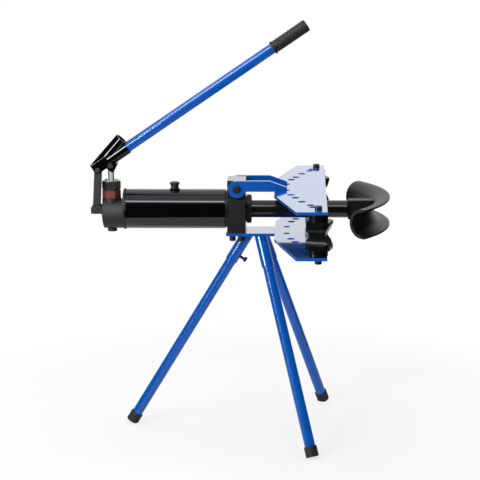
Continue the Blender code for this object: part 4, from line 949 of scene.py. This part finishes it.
class BENDER_OT_front_block(Piece):
    """Build the front block, the ram's gland nut and the arm bolts"""

    bl_idname = "bender.front_block"
    bl_label = "Front block"

    def make(self):
        solid = place("front_block")
        low, high = solid.low, solid.high
        ledge = RAM_AXIS_Z + LEDGE_ABOVE_AXIS
        top = -place("arm_near").high.y - SEAT_GAP
        half = solid.size.y / 2
        outline = [(-half, low.z), (half, low.z), (half, ledge), (top, ledge), (top, high.z),
                   (-top, high.z), (-top, ledge), (-half, ledge)]
        facing = Matrix.Translation((low.x, 0, 0)) @ Matrix.Rotation(math.pi / 2, 4, "Z")
        facing = facing @ Matrix.Rotation(math.pi / 2, 4, "X")
        hole = circle(0, RAM_AXIS_Z, RAM_HOLE_RADIUS, 64)
        body = plate("front_block_body", outline, [hole], solid.size.x, facing, 0.0011)
        wear(body, "satin_sheet", "frame", "front_block")

        solid = place("ram_gland_nut")
        nut = hex_piece("ram_gland_hexagon", solid.size.z, solid.size.x, RAM_NUT_CHAMFER,
                        on_axis(solid.low.x), X_AXIS, 0.0, RAM_NUT_BORE, ROUND)
        wear(nut, "satin", "frame", "ram_gland_nut")

        for side, inward in (("near", 1), ("far", -1)):
            node = f"arm_bolt_{side}"
            solid = place(node)
            face = solid.low.y if inward > 0 else solid.high.y
            profile = ARM_BOLT_HEAD + [(ARM_BOLT_SHANK, solid.size.y), (0, solid.size.y)]
            start = (solid.middle.x, face, solid.middle.z)
            bolt = turned(f"{node}_body", profile, start, (0, inward, 0), 64)
            wear(bolt, "oxide", "frame", node)


class BENDER_OT_base(Piece):
    """Build the base bar, its bolts and the lower wing plate"""

    bl_idname = "bender.base"
    bl_label = "Base and lower plate"

    def make(self):
        bolts = [f"base_bolt_{number}" for number in range(1, 5)]
        solid = place("base_bar")
        low, high = solid.low, solid.high
        outline = [(low.x, low.y), (high.x, low.y), (high.x, high.y), (low.x, high.y)]
        spots = [place(node).middle for node in bolts]
        holes = [circle(spot.x, spot.y, BASE_BOLT_HOLE, 32) for spot in spots]
        level_sheet("base_bar_plate", "base_bar", "frame", rounded(outline, BAR_CORNER), holes)
        wing_plate("lower_wing_plate", "frame")

        for node in bolts:
            solid = place(node)
            start = (solid.middle.x, solid.middle.y, solid.low.z)
            profile = BASE_BOLT_FACE + [(0.0085, BASE_BOLT_HEAD), (BASE_BOLT_SHANK, BASE_BOLT_HEAD),
                                        (BASE_BOLT_SHANK, solid.size.z), (0, solid.size.z)]
            bolt = turned(f"{node}_body", profile, start, Z_AXIS, SMALL_ROUND)
            wear(bolt, "oxide", "frame", node)


class BENDER_OT_upper_frame(Piece):
    """Build the upper wing plate and its two arms"""

    bl_idname = "bender.upper_frame"
    bl_label = "Upper frame"

    def make(self):
        wing_plate("upper_wing_plate", "upper_frame")
        wing = place("upper_wing_plate")
        seat = wing.high.z + SEAT_GAP
        rear_stop = wing.low.x - SEAT_GAP
        pivot = Vector(JOINTS["frame_swing"]["pos_m"])
        under = pivot.z - ARM_BELOW_EYE
        tip = pivot.x + ARM_TIP_REACH
        for node in ("arm_near", "arm_far"):
            solid = place(node)
            radius = pivot.x - solid.low.x
            meet = math.degrees(math.asin(ARM_BELOW_EYE / radius))
            outline = arc((pivot.x, pivot.z), radius, 90, 360 - meet, 40)
            outline[-1] = (*outline[-1], 0.006)
            outline += [(rear_stop, under, 0.002), (rear_stop, seat), (tip, seat),
                        (tip, seat + ARM_TIP_HEIGHT, 0.004),
                        (pivot.x + ARM_SHOULDER_REACH, pivot.z + radius, 0.004)]
            arm = plate(f"{node}_plate", rounded(outline), [circle(pivot.x, pivot.z, ARM_EYE_BORE)],
                        solid.size.y, upright(solid.high.y), sizes().plate_edge)
            wear(arm, "blue_sheet", "upper_frame", node)


class BENDER_OT_pins(Piece):
    """Build the two pins that hold the counter-blocks"""

    bl_idname = "bender.pins"
    bl_label = "Pins"

    def make(self):
        for node in ("pin_near", "pin_far"):
            solid = place(node)
            profile = bar(solid.size.y / 2, solid.size.z, PIN_CHAMFER, PIN_CHAMFER)
            start = (solid.middle.x, solid.middle.y, solid.low.z)
            wear(turned(f"{node}_bar", profile, start, Z_AXIS, SMALL_ROUND), "oxide", node, node)


class BENDER_OT_counter_blocks(Piece):
    """Build the two turning counter-blocks with a pipe groove on each face"""

    bl_idname = "bender.counter_blocks"
    bl_label = "Counter-blocks"

    def make(self):
        for side, mirror in (("near", 1), ("far", -1)):
            self.block(f"counter_block_{side}", place(f"pin_{side}").middle, mirror)

    def block(self, node, pin, mirror):
        """One block: a plate joined with its collars, then cut by the grooves, vee and bore."""
        solid = place(node)
        low, height = solid.low.z, solid.size.z
        body_low = low + BLOCK_BODY_LIFT
        body_high = solid.high.z - BLOCK_BODY_DROP
        centre = (body_low + body_high) / 2
        seat = Matrix.Translation((pin.x, pin.y, 0))
        seat = seat @ Matrix.Rotation(math.radians(-BLOCK_TURN_DEG * mirror), 4, "Z")
        outline = [(x, y * mirror) for x, y in BLOCK_OUTLINE]
        body = plate(f"{node}_casting", outline, [], body_high - body_low,
                     seat @ Matrix.Translation((0, 0, body_low)))
        tools = []
        for name, facing, face, radius, depth in BLOCK_GROOVES:
            out = Vector((facing[0], facing[1] * mirror, 0))
            along = Vector((-out.y, out.x, 0))
            start = seat @ (out * (face + radius - depth) + Z_AXIS * centre
                            - along * CUTTER_LENGTH / 2)
            tools.append(rod(f"{node}_{name}_groove", radius, start, seat.to_3x3() @ along,
                             CUTTER_LENGTH, 128))
        outside = VEE_FACE + CUTTER_OVERRUN
        mouth = VEE_HALF * (VEE_DEPTH + CUTTER_OVERRUN) / VEE_DEPTH
        notch = rounded([(outside, -mouth), (outside, mouth),
                         (VEE_FACE - VEE_DEPTH, 0, VEE_ROOT_RADIUS)])
        facing = seat @ Matrix.Translation((0, CUTTER_LENGTH / 2, centre))
        facing = facing @ Matrix.Rotation(math.pi / 2, 4, "X")
        tools.append(plate(f"{node}_vee", notch, [], CUTTER_LENGTH, facing))
        tools.append(rod(f"{node}_bore", BLOCK_BORE, (pin.x, pin.y, low - CUTTER_OVERRUN), Z_AXIS,
                         height + 2 * CUTTER_OVERRUN))
        profile = bar(BLOCK_COLLAR_RADIUS, height, 0.0012, 0.0012)
        carve(body, [turned(f"{node}_collars", profile, (pin.x, pin.y, low), Z_AXIS)], "UNION")
        carve(body, tools)
        wear(tidy(body, 0.0007, 30.0, 24.0), "black_gloss_cast", node, node)


class BENDER_OT_ram(Piece):
    """Build the ram"""

    bl_idname = "bender.ram"
    bl_label = "Ram"

    def make(self):
        solid = place("ram")
        radius = solid.size.y / 2
        length = solid.size.x
        end = length - RAM_NOSE_LENGTH
        profile = [(0, length), (RAM_NOSE_RADIUS, length, 0.001), (RAM_NOSE_RADIUS, end),
                   (radius, end, 0.0026), (radius, RAM_TAIL_LENGTH),
                   (RAM_NOSE_RADIUS, RAM_TAIL_LENGTH), (RAM_NOSE_RADIUS, 0), (0, 0)]
        ram = turned("ram_bar", profile, on_axis(solid.low.x), X_AXIS)
        wear(ram, "ram", "ram", "ram")


class BENDER_OT_former(Piece):
    """Build the bend former: the swept pipe groove and its hub"""

    bl_idname = "bender.former"
    bl_label = "Bend former"

    def make(self):
        solid = place("bend_former")
        low, rim = solid.low.x, FORMER_RIM_RADIUS
        axis_x = solid.high.x - rim
        centre = rim - FORMER_LIP
        shell, mouth, corner = FORMER_SHELL_RADIUS, FORMER_MOUTH, FORMER_RIM_CORNER
        section = [(rim, shell, corner)] + arc((centre, 0), shell, 90, 270, 32)
        section += [(rim, -shell, corner), (rim, -mouth, corner)]
        section += arc((centre, 0), FORMER_GROOVE_RADIUS, 270, 90, 32) + [(rim, mouth, corner)]
        swing = math.radians(FORMER_HALF_ANGLE_DEG)
        bm = bmesh.new()
        verts, edges = closed_loop(bm, [(r, 0, z) for r, z in rounded(section, 0.0, 3)])
        bmesh.ops.rotate(bm, verts=verts, cent=(0, 0, 0), matrix=Matrix.Rotation(-swing, 3, "Z"))
        bmesh.ops.spin(bm, geom=verts + edges, cent=(0, 0, 0), axis=(0, 0, 1), angle=2 * swing,
                       steps=110, use_duplicate=False)
        bmesh.ops.holes_fill(bm, edges=[e for e in bm.edges if e.is_boundary], sides=0)
        bmesh.ops.recalc_face_normals(bm, faces=bm.faces)
        former = to_object("bend_former_casting", bm, Matrix.Translation(on_axis(axis_x)))
        hub = block("former_hub", (low, -HUB_HALF_WIDTH, RAM_AXIS_Z - HUB_HALF_HEIGHT),
                    (axis_x + centre - shell + HUB_INTO_SHELL, HUB_HALF_WIDTH,
                     RAM_AXIS_Z + HUB_HALF_HEIGHT), 0.002)
        carve(former, [hub], "UNION")
        carve(former, [rod("hub_bore", HUB_BORE, on_axis(low - CUTTER_OVERRUN), X_AXIS,
                           CUTTER_OVERRUN + HUB_BORE_END)])
        wear(tidy(former), "black_cast", "former", "bend_former")


class BENDER_OT_pump(Piece):
    """Finish the pump body and release valve, and build its nuts, ring, screws and drain plug"""

    bl_idname = "bender.pump"
    bl_label = "Pump"

    def make(self):
        dress_solid("pump_body", "grey_cast", 0.0012)
        plunger_x = place("plunger").middle.x
        for node, kind, turn_deg in (("pump_nut", "copper", 28), ("gland_nut", "satin", 34)):
            solid = place(node)
            nut = hex_piece(f"{node}_hexagon", NUT_ACROSS_CORNERS, solid.size.z, NUT_CHAMFER,
                            (plunger_x, 0, solid.low.z), Z_AXIS, math.radians(turn_deg), NUT_BORE)
            wear(nut, kind, "frame", node)
        solid = place("gland_ring")
        profile = sleeve(RING_BORE, solid.size.y / 2, solid.size.z, 0.0004, 0.00005)
        ring = turned("gland_ring_washer", profile, (solid.middle.x, 0, solid.low.z), Z_AXIS, ROUND,
                      0.00005, True)
        wear(ring, "zinc", "frame", "gland_ring")
        for node in ("gland_screw_front", "gland_screw_rear"):
            solid = place(node)
            radius, height = solid.size.y / 2, solid.size.z
            recess = height - SCREW_RECESS
            profile = [(0, recess), (0.0012, recess), (0.0012, height), (radius, height, 0.0006),
                       (radius, 0), (0, 0)]
            start = (solid.middle.x, 0, solid.low.z)
            wear(turned(f"{node}_head", profile, start, Z_AXIS, 32), "zinc", "frame", node)
        solid = place("drain_plug")
        plug = hex_piece("drain_plug_head", solid.size.y, solid.size.z, 0.0014,
                         (solid.middle.x, 0, solid.low.z), Z_AXIS, 0.3)
        wear(plug, "oxide", "frame", "drain_plug")
        dress_solid("release_valve", "oxide", 0.0005)


def bend_web(head):
    """Round the channel's two long upper edges, where the sheet is bent."""
    bm = bmesh.new()
    bm.from_mesh(head.data)
    bends = [e for e in bm.edges if all(abs(v.co.z - WEB_TOP) < 0.0001 for v in e.verts)
             and abs(e.verts[0].co.y - e.verts[1].co.y) < 0.0001]
    if len(bends) != 2:
        raise RuntimeError("the channel's upper edges were not found")
    soften(bm, bends, WEB_BEND, 6, False)
    bm.to_mesh(head.data)
    bm.free()


def socket(name, start, direction, length):
    """A plain bar that becomes a socket for the handle."""
    return turned(name, bar(SOCKET_RADIUS, length, 0.0008), start, direction, SOCKET_ROUND)


class BENDER_OT_linkage(Piece):
    """Build the link, pivot pins and welded lever head, and finish the plunger"""

    bl_idname = "bender.linkage"
    bl_label = "Linkage"

    def make(self):
        foot = Vector(JOINTS["link_sway"]["pos_m"])
        head = Vector(JOINTS["lever_pump"]["pos_m"])
        solid = place("link_bar")
        lean = math.degrees(math.atan2(head.z - foot.z, head.x - foot.x))
        outline = arc((foot.x, foot.z), LINK_RADIUS, lean + 90, lean + 270, 24)
        outline += arc((head.x, head.z), LINK_RADIUS, lean - 90, lean + 90, 24)
        holes = [circle(end.x, end.z, LINK_HOLE, 32) for end in (foot, head)]
        link = plate("link_bar_forging", outline, holes, solid.size.y, upright(solid.high.y),
                     LINK_EDGE)
        wear(link, "grey_cast", "link", "link_bar")

        dress_solid("plunger", "chrome", 0.0004)
        for node, body, radius, head_radius in (("lower_link_pin", "frame", 0.0045, 0.0066),
                                                ("upper_link_pin", "lever", 0.0045, 0.0066),
                                                ("plunger_pin", "plunger", 0.0040, 0.0072)):
            solid = place(node)
            half = solid.size.y / 2
            rim = half - RIVET_DISH
            neck = half - PIN_CAP
            profile = [(0, half, 0.001), (0.0022, half, 0.0005), (0.003, rim),
                       (head_radius, rim, 0.0009), (head_radius, neck), (radius, neck),
                       (radius, -neck), (head_radius, -neck), (head_radius, -rim, 0.0009),
                       (0.003, -rim), (0.0022, -half, 0.0005), (0, -half)]
            start = (solid.middle.x, 0, solid.middle.z)
            wear(turned(f"{node}_rivet", profile, start, Y_AXIS, 40), "oxide", body, node)
        self.head()

    def head(self):
        """The welded head: a bent channel between the cheeks and two sockets for the handle."""
        pivot, ahead, square = lever_axes()
        seat = Matrix((ahead, Y_AXIS, square)).transposed().to_4x4()
        seat.translation = pivot
        head = plate("lever_head_welded", CHEEK_OUTLINE, [], 2 * HEAD_HALF_WIDTH,
                     upright(HEAD_HALF_WIDTH))
        bend_web(head)
        front = socket("front_socket", (SOCKET_ROOT, 0, HANDLE_ABOVE_PIVOT), X_AXIS,
                       SOCKET_END - SOCKET_ROOT)
        swing = math.radians(REAR_SOCKET_TURN_DEG)
        steep = Vector((math.cos(swing), 0, math.sin(swing)))
        end = Vector((REAR_SOCKET_END[0], 0, REAR_SOCKET_END[1]))
        rear = socket("rear_socket", end - steep * REAR_SOCKET_LENGTH, steep, REAR_SOCKET_LENGTH)
        far = 0.2
        weld = WEB_TOP - WELD_DEPTH
        carve(rear, [block("under_weld", (-far, -far, weld - far), (REAR_SOCKET_REACH, far, weld)),
                     block("tail_trim", (-far, -far, -far), (-HEAD_TAIL, far, far))])
        carve(head, [front, rear], "UNION")
        eye = seat.inverted() @ place("plunger_pin").middle
        carve(head, [
            block("channel", (-far, -CHANNEL_HALF_WIDTH, CHANNEL_FLOOR),
                  (CHANNEL_END, CHANNEL_HALF_WIDTH, WEB_TOP - WEB_THICKNESS)),
            rod("pivot_hole", LINK_HOLE, (0, -0.03, 0), Y_AXIS, 0.06),
            rod("plunger_hole", PLUNGER_HOLE, (eye.x, -0.03, eye.z), Y_AXIS, 0.06),
            rod("front_bore", SOCKET_BORE, (SOCKET_END - SOCKET_DEPTH, 0, HANDLE_ABOVE_PIVOT),
                X_AXIS, 0.1, ROUND),
            rod("rear_bore", SOCKET_BORE, end - steep * REAR_SOCKET_DEPTH, steep, 0.1, ROUND)])
        tidy(head, 0.0006, 30.0, 40.0)
        head.data.transform(seat)
        wear(head, "enamel", "lever", "lever_head")


class BENDER_OT_handle(Piece):
    """Build the handle tube and the studded grip"""

    bl_idname = "bender.handle"
    bl_label = "Handle"

    def make(self):
        ahead = lever_axes()[1]
        begin = SOCKET_END - SOCKET_DEPTH + SEAT_GAP
        length = GRIP_END - GRIP_CAP - SEAT_GAP - begin
        profile = sleeve(HANDLE_BORE, HANDLE_RADIUS, length, 0.0001, 0.0006)
        tube = turned("handle_tube_bar", profile, lever_point(begin, HANDLE_ABOVE_PIVOT), ahead,
                      TUBE_ROUND, 0.0001, True)
        wear(tube, "blue", "handle", "handle_tube")

        length = GRIP_END - GRIP_START
        start = lever_point(GRIP_START, HANDLE_ABOVE_PIVOT)
        bore = HANDLE_RADIUS + SEAT_GAP
        profile = [(0, length), (GRIP_RADIUS + 0.0004, length, 0.0028), (GRIP_RADIUS, 0.010),
                   (GRIP_RADIUS + 0.0003, 0.0058), (GRIP_FLANGE_RADIUS, 0.0052, 0.001),
                   (GRIP_FLANGE_RADIUS, 0.0, 0.0012), (bore, 0.0), (bore, length - GRIP_CAP),
                   (0, length - GRIP_CAP)]
        grip = turned("handle_grip_sleeve", profile, start, ahead, TUBE_ROUND)
        merge(grip, self.studs(start, ahead, length))
        wear(grip, "rubber", "handle", "handle_grip")

    def studs(self, start, ahead, length):
        """Rings of raised studs, each ring turned half a step from the last."""
        size = sizes()
        run = length - STUDS_FROM_END - STUDS_START
        bm = bmesh.new()
        for ring in range(size.stud_rows):
            height = STUDS_START + run * ring / (size.stud_rows - 1)
            for k in range(size.studs_round):
                angle = math.tau * (k + 0.5 * (ring % 2)) / size.studs_round
                turn = Matrix.Rotation(angle, 4, "Z")
                turn = turn @ Matrix.Translation((GRIP_RADIUS - STUD_ROOT, 0, height))
                spot = turn @ Matrix.Rotation(math.pi / 2, 4, "Y")
                raised = spot @ Matrix.Translation((0, 0, size.stud_height / 2))
                bmesh.ops.create_cone(bm, cap_ends=True, segments=10, radius1=size.stud_radius,
                                      radius2=size.stud_radius * STUD_TAPER,
                                      depth=size.stud_height, matrix=raised)
        return to_object("studs", bm, place_along(ahead, start), 50.0)


class BENDER_OT_filler(Piece):
    """Finish the filler boss and build the vent plug with its ribbed cap"""

    bl_idname = "bender.filler"
    bl_label = "Filler plug"

    def make(self):
        dress_solid("filler_boss", "enamel", 0.0005)
        solid = place("filler_plug")
        height = solid.size.z
        neck = height - CAP_HEIGHT
        dish = height - CAP_DISH
        start = (solid.middle.x, 0, solid.low.z)
        profile = [(0, dish), (0.0075, dish), (0.0085, height, 0.0005), (0.0113, height, 0.0012),
                   (CAP_RADIUS, height - 0.0018), (CAP_RADIUS, neck + 0.001),
                   (0.0113, neck, 0.0004), (PLUG_RADIUS, neck), (PLUG_RADIUS, neck - PLUG_DEPTH),
                   (PLUG_STEM, neck - PLUG_DEPTH), (PLUG_STEM, 0), (0, 0)]
        plug = turned("filler_plug_body", profile, start, Z_AXIS, 64)
        ribs = bmesh.new()
        for k in range(sizes().cap_ribs):
            spot = Matrix.Rotation(math.tau * k / sizes().cap_ribs, 4, "Z")
            spot = spot @ Matrix.Translation((RIB_PLACE, 0, neck + CAP_HEIGHT / 2))
            bmesh.ops.create_cone(ribs, cap_ends=True, segments=8, radius1=RIB_RADIUS,
                                  radius2=RIB_RADIUS, depth=CAP_HEIGHT - RIB_MARGIN, matrix=spot)
        merge(plug, to_object("ribs", ribs, Matrix.Translation(start)))
        wear(plug, "oxide", "filler_plug", "filler_plug")


class BENDER_OT_tripod(Piece):
    """Build the leg tubes and feet, and finish their sockets and clamp screws"""

    bl_idname = "bender.tripod"
    bl_label = "Tripod"

    def make(self):
        for name in ("left", "near", "far"):
            body = f"leg_{name}"
            down = Vector(JOINTS[f"leg_pull_{name}"]["axis"]).normalized()
            clamp = Vector(JOINTS[f"screw_turn_{name}"]["pos_m"])
            top = clamp - down * SCREW_FROM_TOP
            tilt = math.sqrt(1 - down.z ** 2)
            foot_low = place(f"foot_{name}").low.z
            reach = (top.z - (FOOT_RADIUS * tilt - FOOT_SINK) - foot_low) / -down.z
            profile = sleeve(LEG_RADIUS - LEG_WALL, LEG_RADIUS, reach - FOOT_SOLE - LEG_IN_SOCKET,
                             0.0001, 0.0006)
            tube = turned(f"leg_tube_{name}_bar", profile, top + down * LEG_IN_SOCKET, down,
                          TUBE_ROUND, 0.0001, True)
            wear(tube, "blue", body, f"leg_tube_{name}")

            end = top + down * reach
            foot = turned(f"foot_{name}_cap", FOOT_SIDE, end, -down, TUBE_ROUND)
            carve(foot, [block("floor_trim", (end.x - FLOOR_TRIM, end.y - FLOOR_TRIM, -0.05),
                               (end.x + FLOOR_TRIM, end.y + FLOOR_TRIM, 0.0))])
            wear(tidy(foot), "rubber", body, f"foot_{name}")
            dress_solid(f"leg_socket_{name}", "blue", 0.0005)
            dress_solid(f"leg_screw_{name}", "oxide", 0.0005)


class BENDER_OT_stage(Piece):
    """Make the floor, the white surround, the lamps and the camera"""

    bl_idname = "bender.stage"
    bl_label = "Stage"

    def make(self):
        scene = bpy.context.scene
        stage = scene.bender_stage
        scene.view_settings.view_transform = "Standard"
        self.floor()
        self.surround(stage.world_level)
        for name, spot, share in SOFT_LAMPS:
            soft = lamp(name, spot, STAGE_MIDDLE, SOFT_LAMP_SIZE, stage.key_level * share)
            soft.visible_glossy = False
        for name, spot, target, size, share in GLOSS_LAMPS:
            gloss_lamp(name, spot, target, size, stage.line_level * share)
        self.curtain()
        data = bpy.data.cameras.new("camera")
        data.lens = stage.lens
        data.sensor_width = CAMERA_SENSOR_MM
        data.clip_end = CAMERA_CLIP_END
        camera = bpy.data.objects.new("camera", data)
        scene.collection.objects.link(camera)
        right, up = Vector(CAMERA_RIGHT), Vector(CAMERA_UP)
        turn = Matrix((right, up, right.cross(up))).transposed().to_4x4()
        camera.matrix_world = Matrix.Translation(CAMERA_PLACE) @ turn
        scene.camera = camera

    def floor(self):
        """A pale floor that turns white with distance and, in part, to the camera."""
        bm = bmesh.new()
        bmesh.ops.create_circle(bm, cap_ends=True, radius=FLOOR_RADIUS, segments=ROUND)
        item = to_object("floor", bm, Matrix.Translation((0, 0, -FLOOR_BELOW)))
        material, graph = finish("pale_floor")
        graph.set(base_color=tuple(colours().floor), roughness=0.9, specular_ior_level=0.1)
        span = graph.node("ShaderNodeVectorMath", {0: graph.place}, operation="LENGTH")
        path = graph.node("ShaderNodeLightPath", {})
        seen = Field(graph, path.outputs["Is Camera Ray"]) * FLOOR_SEEN_WHITE
        far = (graph.step(Field(graph, span.outputs["Value"]), *FLOOR_FADE) + seen).clamp()
        graph.mix_surface(far, graph.node("ShaderNodeEmission", {"Color": WHITE, "Strength": 1.0}))
        item.data.materials.append(material)

    def curtain(self):
        """A black curtain that only gloss shows, so that upright faces stay deep in tone."""
        bm = bmesh.new()
        rows = [[bm.verts.new((x, y, z)) for x, y in arc((0, 0), reach, *CURTAIN_ANGLES, 60)]
                for reach, z in CURTAIN_ROWS]
        for row, above in zip(rows, rows[1:]):
            for k in range(len(row) - 1):
                bm.faces.new((row[k], row[k + 1], above[k + 1], above[k]))
        item = to_object("curtain", bm)
        material, graph = finish("black_curtain")
        graph.set(base_color=(0.0, 0.0, 0.0), roughness=1.0, specular_ior_level=0.0)
        item.data.materials.append(material)
        item.visible_camera = False
        item.visible_diffuse = False
        item.visible_shadow = False
        item.visible_transmission = False

    def surround(self, even_level):
        """White for the camera, gloss and clear materials, and an even light for the rest."""
        world = bpy.data.worlds.new("surround")
        bpy.context.scene.world = world
        graph = Tree(world)
        graph.tree.nodes.clear()
        path = graph.node("ShaderNodeLightPath", {}).outputs
        seen = Field(graph, path["Is Camera Ray"]) + Field(graph, path["Is Glossy Ray"])
        seen = (seen + Field(graph, path["Is Transmission Ray"])).clamp()
        even, white = (graph.node("ShaderNodeBackground", {"Color": WHITE, "Strength": strength})
                       for strength in (even_level, 1.0))
        mixed = graph.node("ShaderNodeMixShader",
                           {0: seen, 1: even.outputs[0], 2: white.outputs[0]})
        graph.node("ShaderNodeOutputWorld", {"Surface": mixed.outputs[0]})


def lamp(name, spot, target, size, power):
    """A rectangular lamp that faces a target."""
    data = bpy.data.lights.new(name, "AREA")
    data.shape = "RECTANGLE"
    data.size, data.size_y = size
    data.energy = power
    item = bpy.data.objects.new(name, data)
    item.visible_camera = False
    bpy.context.scene.collection.objects.link(item)
    away = Vector(spot) - Vector(target)
    item.matrix_world = place_along(away, spot)
    return item


def gloss_lamp(name, spot, target, size, brightness):
    """A lamp that shows in reflections only and adds no even light."""
    item = lamp(name, spot, target, size, brightness * math.pi * size[0] * size[1])
    item.visible_diffuse = False


OPERATORS = (BENDER_OT_cylinder, BENDER_OT_front_block, BENDER_OT_base, BENDER_OT_upper_frame,
             BENDER_OT_pins, BENDER_OT_counter_blocks, BENDER_OT_ram, BENDER_OT_former,
             BENDER_OT_pump, BENDER_OT_linkage, BENDER_OT_handle, BENDER_OT_filler,
             BENDER_OT_tripod, BENDER_OT_stage)


class BENDER_PT_panel(bpy.types.Panel):
    """Lists the pieces, their sizes and their colours"""

    bl_idname = "BENDER_PT_panel"
    bl_label = "Pipe bender"
    bl_space_type = "VIEW_3D"
    bl_region_type = "UI"
    bl_category = "Pipe bender"

    def draw(self, context):
        layout = self.layout
        for group in ("bender_colours", "bender_sizes", "bender_stage"):
            settings = getattr(context.scene, group)
            column = layout.box().column()
            for name in settings.bl_rna.properties.keys():
                if name not in ("rna_type", "name"):
                    column.prop(settings, name)
        for operator in OPERATORS:
            layout.operator(operator.bl_idname)


CLASSES = (BenderColours, BenderSizes, BenderStage, *OPERATORS, BENDER_PT_panel)


def register():
    for item in CLASSES:
        bpy.utils.register_class(item)
    bpy.types.Scene.bender_colours = bpy.props.PointerProperty(type=BenderColours)
    bpy.types.Scene.bender_sizes = bpy.props.PointerProperty(type=BenderSizes)
    bpy.types.Scene.bender_stage = bpy.props.PointerProperty(type=BenderStage)


def unregister():
    del bpy.types.Scene.bender_stage
    del bpy.types.Scene.bender_sizes
    del bpy.types.Scene.bender_colours
    for item in reversed(CLASSES):
        bpy.utils.unregister_class(item)


def main():
    register()
    for operator in OPERATORS:
        group, name = operator.bl_idname.split(".")
        getattr(getattr(bpy.ops, group), name)()


if __name__ == "__main__":
    main()
